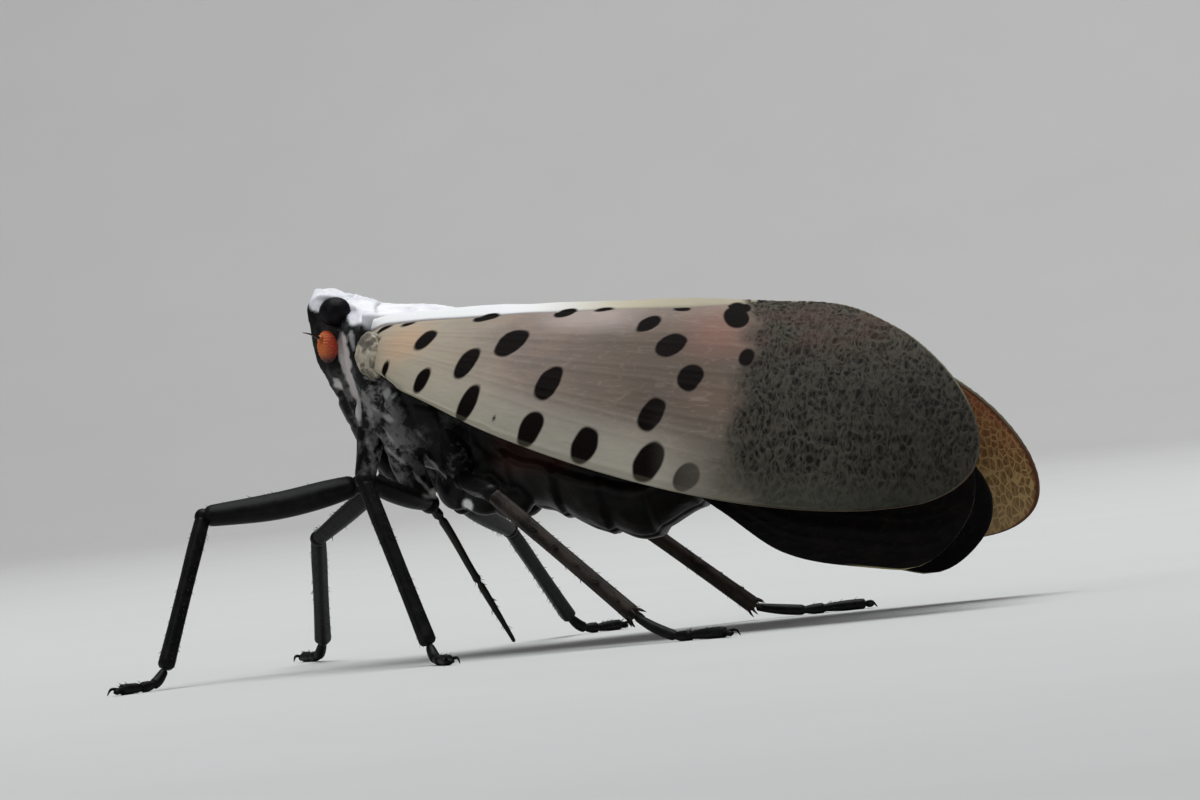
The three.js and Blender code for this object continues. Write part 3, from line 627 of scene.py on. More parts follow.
def forewingMaterial():
    material, base = newMaterial("spotted_forewing")
    along, across, chord = (attribute(base, name) for name in ("along", "across", "chord"))
    wing = place3D(base, along, across, 0.0)
    fan = attribute(base, "fan")
    stretched = place3D(base, along * 0.3, fan * 12.0, 0.0)
    streaks = noise(base, stretched, 2.0, 5.0, 0.62, 0.3)
    clouds = noise(base, wing, 0.55, 4.0, 0.6)
    grain = noise(base, wing, 14.0, 2.0)
    swirls = noise(base, place3D(base, along * 2.3, across * 1.2, 0.0), 1.0, 1.5, 0.5, 1.3)
    meshWays = {"feature": "DISTANCE_TO_EDGE"}
    meshPlace = place3D(base, along * 4.3 + clouds * 3.0, across * 2.4, 0.0)
    cells = base.node("ShaderNodeTexVoronoi", meshWays, {"Vector": meshPlace, "Scale": 1.0})
    meshwork = 1 - cells.step(0.02, 0.14)
    # the pale part: pinkish grey, tan clouds, cream near the root and along the lower margin
    low = (across - chord + 2.9).step(0.0, 2.6)
    tip = (attribute(base, "tip") * (1 - low * 0.6)).step(-0.55, 0.6)
    root = 1 - along.step(-6.4, -0.5)
    pale = mixColours(base, clouds.step(0.35, 0.65), paint(131, 119, 112), paint(148, 131, 119))
    taupe = along.step(-3.5, 4.5) * (1 - abs(across - 4.8).step(1.2, 4.3)) * (0.7 + clouds * 0.4)
    pale = mixColours(base, taupe, pale, paint(95, 84, 75))
    upperLight = (1 - abs(along - 1.2).step(0.4, 2.8)) * (1 - abs(across - 1.4).step(0.2, 1.5))
    pale = mixColours(base, upperLight * 0.55, pale, paint(190, 175, 169))
    pale = mixColours(base, low * (0.85 - along.step(3.0, 7.0) * 0.45), pale, paint(168, 164, 151))
    pale = mixColours(base, root * 0.75, pale, paint(186, 178, 158))
    apricot = (1 - abs(across - 1.7).step(0.1, 1.3)) * (1 - abs(along + 5.5).step(0.1, 1.5))
    pale = mixColours(base, apricot * 0.55, pale, paint(206, 164, 130))
    blushX = 1 - abs(along - 6.1).step(0.2, 2.0)
    blush = blushX * (1 - abs(across - 2.5).step(0.2, 2.1))
    pale = mixColours(base, blush * (0.3 + clouds * 0.5), pale, paint(146, 106, 94))
    lowBlush = blushX * (1 - abs(across - 5.9).step(0.1, 1.6))
    pale = mixColours(base, lowBlush * 0.35, pale, paint(118, 96, 84))
    dusk = along.step(3.6, 6.2) * (across - chord + 3.6).step(0.0, 1.8)
    pale = mixColours(base, dusk * 0.6, pale, paint(82, 80, 70))
    pale = mixColours(base, streaks.step(0.48, 0.74) * 0.13, pale, paint(96, 85, 80))
    pale = mixColours(base, (1 - streaks.step(0.28, 0.44)) * 0.09, pale, paint(184, 172, 160))
    paleNet = 1 - attribute(base, "baseNet").step(0.02, 0.16)
    pale = mixColours(base, paleNet * 0.08, pale, paint(196, 186, 174))
    # the band along the ridge: white at the root, cream and narrower towards the dark part; its pale colour
    # is partly painted highlight, where light from above catches the ridge
    clavusPaleAndHighlight = 1 - attribute(base, "fold").step(-0.08, 0.04)
    band = mixColours(base, along.step(-2.0, 3.0), paint(238, 238, 238), paint(196, 190, 164))
    pale = mixColours(base, clavusPaleAndHighlight * (1 - tip) * (0.95 - along.step(-1.0, 6.0) * 0.4), pale, band)
    # painted shade: a dark purple line in the claval fold's crease, strongest near the root
    crease = 1 - abs(attribute(base, "fold")).step(0.02, 0.1)
    pale = mixColours(base, crease * (0.6 - along.step(-2.0, 4.0) * 0.4), pale, paint(98, 84, 92))
    # the dark part: near-black cells in a soft grey net, tinged red near the ridge
    lines = 1 - attribute(base, "tipNet").step(0.04, 0.4)
    swirl = 1 - abs(swirls - 0.5).step(0.01, 0.1)
    dark = mixColours(base, lines * (0.2 + clouds * 0.5), paint(29, 27, 24), paint(88, 84, 75))
    dark = mixColours(base, meshwork * 0.38, dark, paint(86, 83, 75))
    dark = mixColours(base, swirl * 0.45, dark, paint(104, 99, 88))
    # darker down the wing and at its end, smoother and paler along the lower margin, and dotted with cream
    # along the ridge
    depths = across.step(0.8, 4.2) * 0.36
    dark = mixColours(base, depths, dark, paint(18, 17, 14))
    hem = (across - chord + 1.7).step(0.0, 1.5)
    dark = mixColours(base, hem * 0.6, dark, paint(72, 72, 65))
    rear = along.step(9.5, 13.5) * across.step(3.0, 6.5)
    dark = mixColours(base, rear * 0.4, dark, paint(22, 22, 19))
    dots = noise(base, place3D(base, along * 2.6, 0.0, 0.0), 1.0, 2.0).step(0.5, 0.62)
    topEdge = (1 - across.step(0.1, 0.32)) * (1 - along.step(10.5, 12.5) * 0.7)
    dark = mixColours(base, topEdge * dots * 0.75, dark, paint(186, 178, 154))
    redX = along.step(6.6, 8.2) * (1 - along.step(11.5, 14.0))
    redness = redX * (1 - abs(across - 1.9).step(0.3, 2.3)) * clouds.step(0.35, 0.62)
    dark = mixColours(base, redness * 0.36, dark, paint(92, 64, 58))
    colour = mixColours(base, tip, pale, dark)
    veins = attribute(base, "veins").step(0.45, 0.95) * (1 - tip * 0.7)
    colour = mixColours(base, veins * 0.1, colour, paint(100, 89, 82))
    # spots are nearly black, a little brown in the middle, with a soft edge
    spots = (1 - attribute(base, "spots").step(-0.06, 0.06)) * (1 - dusk * 0.4)
    spotColour = mixColours(base, grain.step(0.4, 0.7), paint(9, 6, 6), paint(24, 13, 11))
    colour = mixColours(base, spots, colour, spotColour)
    # the inner face: bare membrane, painted orange brown towards the end as light shining through it from
    # behind (painted light), with darker lines and rim
    inner = attribute(base, "inner")
    backlitAmber = mixColours(base, meshwork * 0.9, paint(118, 92, 56), paint(206, 172, 116))
    backlitAmber = mixColours(base, lines * 0.4, backlitAmber, paint(190, 154, 104))
    backlitAmber = mixColours(base, across.step(6.0, 9.5) * 0.35, backlitAmber, paint(214, 182, 142))
    redTop = (1 - across.step(3.0, 7.5)) * (0.4 + clouds * 0.5)
    backlitAmber = mixColours(base, redTop, backlitAmber, paint(150, 76, 58))
    backlitAmber = mixColours(base, 1 - attribute(base, "edge").step(0.05, 0.26), backlitAmber, paint(96, 50, 34))
    underside = mixColours(base, tip, pale, backlitAmber)
    underside = mixColours(base, spots * 0.8, underside, paint(40, 28, 24))
    colour = mixColours(base, inner, colour, underside)
    # painted highlight: a pale line along the wing's edge where light catches the rim, fainter lower down the
    # wing
    rim = (1 - attribute(base, "edge").step(0.03, 0.1)) * (1 - across.step(4.0, 6.0) * 0.75)
    colour = mixColours(base, rim * 0.6, colour, paint(140, 138, 116))
    rough = mixColours(base, streaks, (0.58, 0.58, 0.58, 1), (0.72, 0.72, 0.72, 1))
    height = grain * 0.5 + streaks * 0.6
    values = {"Base Color": colour, "Roughness": rough, "Specular IOR Level": 0.03}
    return finish(material, base, values, height, 0.012)


# Hindwings: folded fans under the forewings, red at the root and black towards the end

hindwing = {
    "start": -3.6,
    "inner": 0.7,
    "drop": 1.3,
    "liftRight": 1.05,
    "columns": 200,
    "rows": 100,
    "thickness": 0.09,
    "pleat": 0.07,
    "creases": [0, 0.15, 0.3, 0.4, 0.5, 0.59, 0.68, 0.75, 0.82, 0.87, 0.92, 1.0],
    "folds": [0.3, 0.5, 0.68, 0.82, 0.92],
    "foldHeight": 0.05,
    "netCell": (0.6, 0.35),
    "netHeight": 0.015,
    "spotCell": 1.5,
    "lower": [[-3.6, 10.0], [0, 8.0], [4, 6.0], [6, 4.45], [8.2, 2.7], [11.2, 1.85], [13.4, 1.65],
              [15.6, 2.6]],
    "reach": [[-3.6, 2.6], [0, 3.55], [4, 4.45], [8, 4.9], [11.2, 4.6], [15.6, 3.6]],
}


# the fan's end: an egg-shaped outline that is furthest back at v = 0.72
def hindwingEnd(v):
    upper, reach, widest, below = 9.0, 6.2, 0.72, 0.28
    side = np.where(v < widest, (widest - v) / widest, (v - widest) / below)
    power = np.where(v < widest, 1.5, 3.4)
    level = np.where(v < widest, 0, 0.55)
    return upper + reach * (level + (1 - level) * np.maximum(1 - side**power, 0) ** 0.7)


# the fan's surface, raised and lowered by its pleats, as a thin closed sheet
def hindwingPiece(side, material):
    u = np.linspace(0, 1, hindwing["columns"] + 1)[:, None]
    v = np.linspace(0, 1, hindwing["rows"] + 1)[None, :]
    x = mix(hindwing["start"], hindwingEnd(v), u)
    lift = hindwing["liftRight"] * smoothStep(x, 2, 11) if side > 0 else 0

    def section(x, v):
        top = ridgeHeight(x) - hindwing["drop"]
        reach = valueAt(x, hindwing["reach"])
        return roofSection(v, hindwing["inner"], top, reach, valueAt(x, hindwing["lower"]) + lift, 0.96)

    y, z = section(x, v + 0 * u)
    middle = np.stack([x, y, z], -1)
    s = arcDown(x, v + 0 * u, section)
    chord = s[:, -1:]
    # pleats: the membrane rises to a crease at each fold line and sags between them
    crest = np.interp(v, hindwing["creases"], np.arange(len(hindwing["creases"])) % 2)
    relief = hindwing["pleat"] * (crest - 0.5) * smoothStep(u, 0, 0.15) * (1 - 0.6 * smoothStep(u, 0.8, 1))
    for line in hindwing["folds"]:
        fold = hindwing["foldHeight"] * bell((v - line) * chord, 0.07)
        relief = relief + fold * (1 - smoothStep(u, 0.93, 0.98))
    where = np.stack([x, s, 0 * x], -1)
    warp = noiseAt(where, 1.2, 4) * 0.3
    netLong, netDeep = hindwing["netCell"]
    net = netField(x / netLong + warp, s / netDeep, 31)
    relief = relief + hindwing["netHeight"] * smoothStep(0.25 - net, 0, 0.25)
    normals = surfaceNormals(middle)
    outer = middle + normals * (hindwing["thickness"] / 2 + relief)[..., None]
    inner = middle + normals * (relief - hindwing["thickness"] / 2)[..., None]
    part = closedSheet(heldWing(outer, side), heldWing(inner, side))
    edge = np.minimum(chord - s, (1 - u) * (hindwingEnd(v) - hindwing["start"]))
    spots = netField(x / hindwing["spotCell"] + 0.2, s / hindwing["spotCell"], 44)
    fields = {"along": x, "across": s, "edge": edge, "net": net, "cells": spots, "down": v + 0 * x}
    both = {key: np.concatenate([field.ravel(), field.ravel()]) for key, field in fields.items()}
    name = "left" if side < 0 else "right"
    piece = makePiece(f"hindwing_{name}_skin", part, material, both)
    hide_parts(f"hindwing_{name}")
    return piece


def hindwingMaterial():
    material, base = newMaterial("folded_hindwing")
    along, across = attribute(base, "along"), attribute(base, "across")
    wing = place3D(base, along, across, 0.0)
    cloud = noise(base, wing, 1.2, 3.0)
    black = mixColours(base, cloud.step(0.4, 0.7), paint(7, 6, 6), paint(17, 12, 11))
    net = 1 - attribute(base, "net").step(0.04, 0.16)
    black = mixColours(base, net * 0.3, black, paint(36, 30, 28))
    red = mixColours(base, cloud.step(0.35, 0.7), paint(150, 36, 26), paint(178, 54, 36))
    dots = attribute(base, "cells").step(0.5, 0.6)
    red = mixColours(base, dots * 0.95, red, paint(16, 11, 10))
    white = mixColours(base, cloud, paint(206, 196, 178), paint(226, 218, 204))
    upper = 1 - attribute(base, "down").step(0.45, 0.7)
    band = (along + cloud * 1.6).step(3.0, 3.4)
    colour = mixColours(base, band * upper, red, white)
    beyond = (along + cloud * 1.2 - upper * 2.4).step(3.4, 3.9)
    colour = mixColours(base, beyond, colour, black)
    # a thin pale hem along the rear half of the lower margin
    rim = 1 - attribute(base, "edge").step(0.03, 0.1)
    hem = rim * along.step(10.2, 11.4) * (1 - along.step(12.6, 13.6))
    hem = hem * attribute(base, "down").step(0.8, 0.93)
    colour = mixColours(base, hem * 0.85, colour, paint(184, 174, 132))
    values = {"Base Color": colour, "Roughness": 0.5, "Specular IOR Level": 0.09}
    return finish(material, base, values, noise(base, wing, 8.0, 3.0), 0.01)


# Body: one skin over head, collar, shield, chest and abdomen

head = {
    "top": 14.1,
    "end": 8.35,
    "front": [[8.35, -8.28], [9.2, -8.57], [10, -8.84], [10.7, -9.02], [11.4, -9.34], [12.7, -9.48],
              [13.5, -9.54], [14.1, -9.3]],
    "back": [[8.35, -7.75], [9.2, -8.02], [10, -8.25], [14.1, -8.25]],
    "half": [[8.35, 0.42], [9.2, 0.85], [10, 1.15], [11.4, 1.62], [12.6, 1.75], [13.6, 1.6], [14.1, 1.15]],
    "rim": [
        [-8.94, 1.62, 13.44], [-9.1, 1.54, 13.52], [-9.1, 1.46, 13.68], [-8.92, 1.44, 13.78],
        [-8.6, 1.5, 13.78], [-8.2, 1.56, 13.64], [-7.85, 1.64, 13.42], [-7.5, 1.7, 13.15],
    ],
    "rimRadius": [0.07, 0.11, 0.12, 0.12, 0.12, 0.12, 0.12, 0.12],
    "strip": [[-8.34, 1.5, 12.3], [-8.26, 1.62, 11.8], [-8.1, 1.6, 11.2]],
    "stripRadius": [0.2, 0.24, 0.22, 0.16],
    "ridge": [[-8.28, 1.48, 11.3], [-8.26, 1.36, 10.6], [-8.12, 1.15, 9.8], [-7.95, 0.95, 9.1]],
    "ridgeRadius": [0.16, 0.2, 0.18, 0.15],
    "cheeks": [([-8.6, 1.38, 12.25], [0.55, 0.5, 0.75]), ([-8.55, 1.3, 11.3], [0.42, 0.46, 0.7])],
    "neck": [[-9.0, 0, 12.3], [-8.2, 0, 12.1], [-7.4, 0, 11.9]],
    "neckRadius": [1.25, 1.2, 1.35],
    "nape": ([-8.02, 0, 13.06], [0.9, 1.75, 0.62]),
    "keel": 0.07,
    "edge": 0.12,
    "mouth": 0.12,
}

# marks on the sides of head and chest: the middle along and above the floor, the half sizes, the lean in
# degrees and the tone, which is dark below 0
sideMarks = [
    (-8.06, 11.6, 0.84, 0.3, -84, 1.0),
    (-7.92, 10.4, 0.7, 0.22, -80, 1.0),
    (-7.8, 9.58, 0.58, 0.18, -84, 1.0),
    (-8.53, 10.46, 0.24, 0.12, -66, 0.95),
    (-7.6, 12.02, 0.44, 0.09, -85, 0.7),
    (-7.31, 12.1, 0.3, 0.1, 80, -1.0),
    (-7.06, 12.27, 0.16, 0.08, 0, -1.0),
    (-6.86, 12.4, 0.14, 0.1, 0, 0.6),
    (-7.5, 11.0, 0.62, 0.13, -80, -1.0),
    (-7.09, 10.98, 0.3, 0.06, -40, 0.7),
    (-6.83, 10.5, 0.36, 0.07, -20, 0.8),
    (-7.42, 10.15, 0.2, 0.08, -60, 0.6),
    (-6.47, 9.94, 0.27, 0.12, 72, 0.9),
    (-6.28, 9.8, 0.16, 0.07, 40, 0.8),
    (-6.94, 9.38, 0.28, 0.07, -35, 0.8),
    (-6.57, 9.07, 0.24, 0.12, -30, 0.9),
    (-6.63, 8.42, 0.42, 0.08, -60, 0.7),
    (-7.1, 8.5, 0.3, 0.06, -62, 0.55),
    (-6.48, 7.66, 0.68, 0.09, -42, 0.8),
    (-5.62, 6.66, 0.67, 0.08, -57, 0.75),
    (-5.15, 6.98, 0.76, 0.07, -67, 0.5),
    (-5.5, 8.4, 0.6, 0.06, -55, 0.3),
    (-7.4, 7.9, 0.75, 0.13, -82, 0.5),
    (-7.05, 7.45, 0.5, 0.11, -76, 0.45),
    (-7.25, 9.2, 0.55, 0.1, -78, 0.45),
    (-5.02, 7.0, 0.45, 0.07, -62, 0.8),
]

thorax = {
    "start": -8.05,
    "end": -3.6,
    "top": [[-8.1, 13.58], [-7.5, 13.46], [-6.95, 13.24], [-6.2, 12.7], [-5.2, 12.1], [-4.15, 11.5],
            [-3.6, 10.9]],
    "shieldTop": [[-7.3, 13.5], [-6.28, 13.28], [-5.31, 13.16], [-4.49, 12.98], [-3.1, 12.5]],
    "bottom": [[-8.1, 10.2], [-7.5, 8.85], [-6.6, 7.6], [-5.4, 6.95], [-4.15, 6.85], [-3.6, 6.95]],
    "half": [[-8.1, 2.05], [-7.4, 2.5], [-6.2, 2.62], [-5.2, 2.6], [-4.15, 2.35], [-3.6, 2.1]],
    "shieldStart": -7.2,
    "shieldEnd": -3.1,
    "grooves": [(-6.9, 0.18, 0.09), (-6.1, 0.32, 0.07), (-5.0, 0.24, 0.09), (-4.35, 0.1, 0.06)],
    "grooveDepth": 0.13,
    "collar": 0.1,
    "collarLow": [[-9.0, 13.6], [-8.3, 13.42], [-7.9, 13.2], [-7.68, 12.72], [-7.2, 12.58], [-6.6, 12.36]],
    "hips": [
        ([-7.2, 1.45, 9.2], [0.8, 0.78, 1.05]), ([-6.1, 1.6, 8.4], [0.95, 0.85, 1.3]),
        ([-4.5, 1.55, 8.1], [1.05, 0.9, 1.4]), ([-3.4, 1.3, 7.4], [0.9, 0.8, 0.9]),
        ([-4.6, 0.9, 6.35], [0.75, 0.7, 0.95]), ([-3.5, 1.0, 6.1], [0.95, 0.8, 1.0]),
        ([-2.5, 1.0, 5.7], [0.85, 0.75, 0.85]),
    ],
}

abdomen = {
    "start": -4.4,
    "end": 9.9,
    "segmentStart": -3.85,
    "segments": 8,
    "flare": 0.2,
    "top": [[-4.4, 10.5], [-3.85, 10.4], [-1, 9.65], [2.5, 8.6], [6, 7.6], [8.5, 7.1], [9.9, 6.6]],
    "bottom": [[-4.4, 7.0], [-3.85, 6.8], [-1.74, 5.28], [-1, 5.1], [-0.28, 4.64], [0.45, 4.3], [1.2, 4.06],
               [1.9, 3.78], [2.6, 3.78], [3.4, 4.15], [4.2, 4.65], [5.2, 4.95], [6.5, 5.2], [9.9, 5.75]],
    "half": [[-4.4, 1.9], [-3.85, 2.0], [-1, 2.65], [2.5, 2.85], [5.5, 2.5], [8, 1.75], [9.9, 0.6]],
}

skin = {"voxel": 0.077, "rounds": 2, "seam": 0.05, "jointSpot": (-4.13, 5.56)}


# a rounded rectangle in units from -1 to 1: an ellipse at squareness 2, and nearer to a box above it
def roundedPoint(angle, squareness):
    cosine, sine = np.cos(angle), np.sin(angle)
    power = 2 / squareness
    return np.sign(cosine) * np.abs(cosine) ** power, np.sign(sine) * np.abs(sine) ** power


# head: level rings up the face, keels and seams pushed out of its front, and a dished crown
def headPart():
    z = np.linspace(head["end"], head["top"], 130)[:, None]
    angle = np.linspace(0, 2 * math.pi, 150, endpoint=False)[None, :]
    a, b = roundedPoint(angle, 2.8)
    half = valueAt(z, head["half"])
    x = mix(valueAt(z, head["front"]), valueAt(z, head["back"]), (1 - a) / 2)
    y = b * half
    facing = smoothStep(a, 0.1, 0.7)
    onFace = smoothStep(z, 10.1, 10.5) * (1 - smoothStep(z, 13.5, 13.9))
    keels = head["keel"] * bell(y, 0.07) + head["keel"] * bell(np.abs(y) - 0.55 * half, 0.07)
    edges = head["edge"] * bell(np.abs(y) - 0.9 * half, 0.1)
    mouth = (1 - smoothStep(z, 9.7, 9.95)) * head["mouth"] * (1 - np.abs(y / half) ** 2)
    raised = (keels + edges) * onFace + mouth
    x = x - facing * (raised - 0.1 * bell(z - 9.98, 0.07) - 0.07 * bell(z - 8.95, 0.05))
    x = x + facing * onFace * 0.1 * bell(np.abs(y) - 0.28 * half, 0.22)
    # the crown slopes down to the collar, and its front edge is rounded
    z = z - 0.4 * smoothStep(x, -9.1, -8.1) * smoothStep(z, 13.0, 14.1)
    z = z - 0.22 * (1 - smoothStep(x, -9.7, -9.2)) * smoothStep(z, 13.2, 14.1)
    rings = np.stack([x, y, z], -1)
    crown = rings[-1]
    middle = crown.mean(0)
    steps = np.linspace(0.06, 0.94, 22)[:, None, None]
    dish = mix(crown[None], middle[None, None], steps)
    dish[..., 2] += (0.06 * bell(steps - 0.1, 0.1) - 0.2 * smoothStep(steps, 0.1, 0.55))[..., 0]
    dish[..., 2] += 0.12 * bell(dish[..., 1], 0.06) * smoothStep(steps[..., 0], 0.15, 0.4)
    return closedLoft(np.concatenate([rings, dish]))


# thorax: lengthwise rings round the barrel, with raised plates parted by grooves
def thoraxPart():
    x = np.linspace(thorax["start"], thorax["end"], 190)[:, None]
    angle = np.linspace(0, 2 * math.pi, 300, endpoint=False)[None, :]
    a, b = roundedPoint(angle, 2.4)
    half = valueAt(x, thorax["half"])
    top, bottom = valueAt(x, thorax["top"]), valueAt(x, thorax["bottom"])
    z = mix(bottom, top, (1 + b) / 2)
    grooves = np.zeros(z.shape)
    onSide = smoothStep(np.abs(a), 0.35, 0.75) * smoothStep(z, 7.4, 8.6)
    for start, slope, width in thorax["grooves"]:
        grooves += bell(x - start + slope * (z - 10.5), width) * onSide
    upperGroove = bell(z - 11.6 + 0.3 * (x + 6), 0.07) * smoothStep(np.abs(a), 0.5, 0.8)
    grooves += upperGroove * smoothStep(x, -7.3, -7.0)
    lowerGroove = bell(z - 9.6 + 0.22 * (x + 6), 0.06) * smoothStep(np.abs(a), 0.4, 0.7)
    grooves += lowerGroove * smoothStep(x, -7.4, -7.1)
    collar = 1 - smoothStep(x - 0.25 * (np.abs(a) - 0.4), -6.98, -6.9)
    push = thorax["collar"] * collar * smoothStep(z, 10.8, 11.3)
    push -= thorax["grooveDepth"] * np.minimum(grooves, 1)
    push += 0.09 * bell(a, 0.03) * collar * smoothStep(b, 0.3, 0.8)
    push += 0.07 * bell(x + 7.85, 0.08) * smoothStep(z, 11, 12)
    place = np.stack([x + 0 * z, a * half, z], -1)
    push += 0.05 * noiseAt(place, 1.4, 14)
    return closedLoft(np.stack([x + 0 * z, a * (half + push), z + b * push], -1))


# the shield on the back: a low roof with a keel down its middle and one to each side
def shieldPart():
    t = np.linspace(0, 1, 110)[:, None]
    x = mix(thorax["shieldStart"], thorax["shieldEnd"], t)
    half = shieldSkinHalf(x)
    top = valueAt(x, thorax["shieldTop"])
    place = np.linspace(-1, 1, 120)[None, :]
    y = place * half
    z = top - 0.05 * half - (0.07 + 0.13 * half) * np.abs(place) ** 1.6
    z = z + 0.08 * bell(y, 0.13) + 0.06 * bell(np.abs(y) - 0.5 * half, 0.12) * (half > 0.5)
    z = z - 0.05 * bell(x + 3.9, 0.07) * (1 - np.abs(place))
    roof = np.stack([x + 0 * y, y, z], -1)
    depth = mix(1.3, 0.5, t)
    floor = np.stack([x + 0 * y, y, top - depth + 0 * y], -1)[:, ::-1]
    return closedLoft(np.concatenate([roof, floor], axis=1))


# abdomen: eight plates, each flaring to a step over the next, with a fold along each flank
def abdomenPart():
    x = np.linspace(abdomen["start"], abdomen["end"], 330)[:, None]
    angle = np.linspace(0, 2 * math.pi, 260, endpoint=False)[None, :]
    a, b = roundedPoint(angle, 2.2)
    length = (abdomen["end"] - abdomen["segmentStart"]) / abdomen["segments"]
    place = (x - abdomen["segmentStart"]) / length + 0.05 * np.abs(a)
    part = place - np.floor(place)
    step = np.where(part < 0.9, part / 0.9, (1 - part) / 0.1)
    flare = abdomen["flare"] * step * smoothStep(x, -4.2, -3.6) * (1 - 0.6 * smoothStep(x, 7.5, 9.9))
    close = np.sqrt(np.clip(1 - smoothStep(x, 9.0, 10.2) ** 2, 0, 1))
    half = valueAt(x, abdomen["half"])
    top, bottom = valueAt(x, abdomen["top"]), valueAt(x, abdomen["bottom"])
    middle, tall = (top + bottom) / 2, (top - bottom) / 2
    fold = -0.18 * bell(b + 0.15, 0.07) + 0.1 * bell(b + 0.32, 0.09)
    keel = 0.12 * bell(a, 0.08) * (b > 0) - 0.08 * bell(np.abs(a) - 0.35, 0.05) * (b < 0)
    rings = np.stack([x + 0 * a, a * half, middle + b * tall], -1)
    push = flare + (fold + keel) * smoothStep(x, -3.6, -2) * close + 0.03 * noiseAt(rings, 2.2, 17)
    rings[..., 1] += a * push
    rings[..., 2] += b * push
    return closedLoft(rings)


# fuses parts into one even surface of small quads and smooths it a little
def fuse(part, voxel, rounds):
    points, quads, triangles = part
    mesh = bpy.data.meshes.new("rough")
    mesh.from_pydata(points.tolist(), [], quads.tolist() + triangles.tolist())
    rough = bpy.data.objects.new("rough", mesh)
    bpy.context.scene.collection.objects.link(rough)
    remesh = rough.modifiers.new("fused", "REMESH")
    remesh.mode = "VOXEL"
    remesh.voxel_size = voxel
    graph = bpy.context.evaluated_depsgraph_get()
    fused = rough.evaluated_get(graph).to_mesh()
    points = np.empty(len(fused.vertices) * 3)
    fused.vertices.foreach_get("co", points)
    points = points.reshape(-1, 3)
    edges = np.empty(len(fused.edges) * 2, int)
    fused.edges.foreach_get("vertices", edges)
    corners = np.empty(len(fused.loops), int)
    fused.loops.foreach_get("vertex_index", corners)
    counts = np.empty(len(fused.polygons), int)
    fused.polygons.foreach_get("loop_total", counts)
    starts = np.concatenate([[0], np.cumsum(counts)[:-1]])
    quads = corners[starts[counts == 4][:, None] + np.arange(4)]
    triangles = corners[starts[counts == 3][:, None] + np.arange(3)]
    bpy.data.objects.remove(rough)
    first, second = edges.reshape(-1, 2).T
    degree = np.bincount(np.concatenate([first, second]), minlength=len(points))[:, None]
    # each round pulls points to the middle of their neighbours, then pushes part of it back
    for pull in (0.5, -0.42) * rounds:
        total = np.zeros(points.shape)
        for axis in range(3):
            total[:, axis] += np.bincount(first, points[second, axis], len(points))
            total[:, axis] += np.bincount(second, points[first, axis], len(points))
        points = points + pull * (total / degree - points)
    return points, quads, triangles


# the least distance from each point to a path
def distanceTo(points, path):
    least = np.full(len(points), 99.0)
    for start, end in zip(path[:-1], path[1:]):
        line = end - start
        place = np.clip((points - start) @ line / (line @ line), 0, 1)
        least = np.minimum(least, np.linalg.norm(points - start - place[:, None] * line, axis=1))
    return least


# the strength of the pale or the dark marks at each point on the sides of the body
def markField(points, dark):
    x, y, z = points.T
    wobble = noiseAt(points, 2.6, 41) * 0.08 + noiseAt(points, 6.3, 42) * 0.07
    field = np.zeros(len(points))
    for markX, markZ, halfLong, halfWide, lean, tone in sideMarks:
        if (tone < 0) != dark:
            continue
        turn = math.radians(lean)
        along = (x - markX) * math.cos(turn) + (z - markZ) * math.sin(turn)
        across = (z - markZ) * math.cos(turn) - (x - markX) * math.sin(turn)
        outside = (np.hypot(along / halfLong, across / halfWide) - 1) * math.sqrt(halfLong * halfWide)
        field = np.maximum(field, (1 - smoothStep(outside + wobble, -0.13, 0.13)) * abs(tone))
    return field * smoothStep(np.abs(y), 0.35, 0.7)


# how thick the loose grey wax lies: on the chest behind the face, over the hips and beside the mouth
def dustField(points):
    x, y, z = points.T
    behindFace = bell(np.hypot((x + 6.95) / 1.25, (z - 9.85) / 1.0), 1.0)
    hips = 0.9 * bell(np.hypot((x + 6.75) / 1.4, (z - 7.8) / 1.3), 1.0)
    besideMouth = 0.8 * bell(np.hypot((x + 8.05) / 0.5, (z - 9.4) / 1.2), 1.0)
    ahead = 1 - smoothStep(x + 6.2 - 0.36 * (9.9 - z), -0.35, 0.35)
    return np.maximum.reduce([behindFace, hips, besideMouth]) * ahead * smoothStep(np.abs(y), 0.5, 0.9)


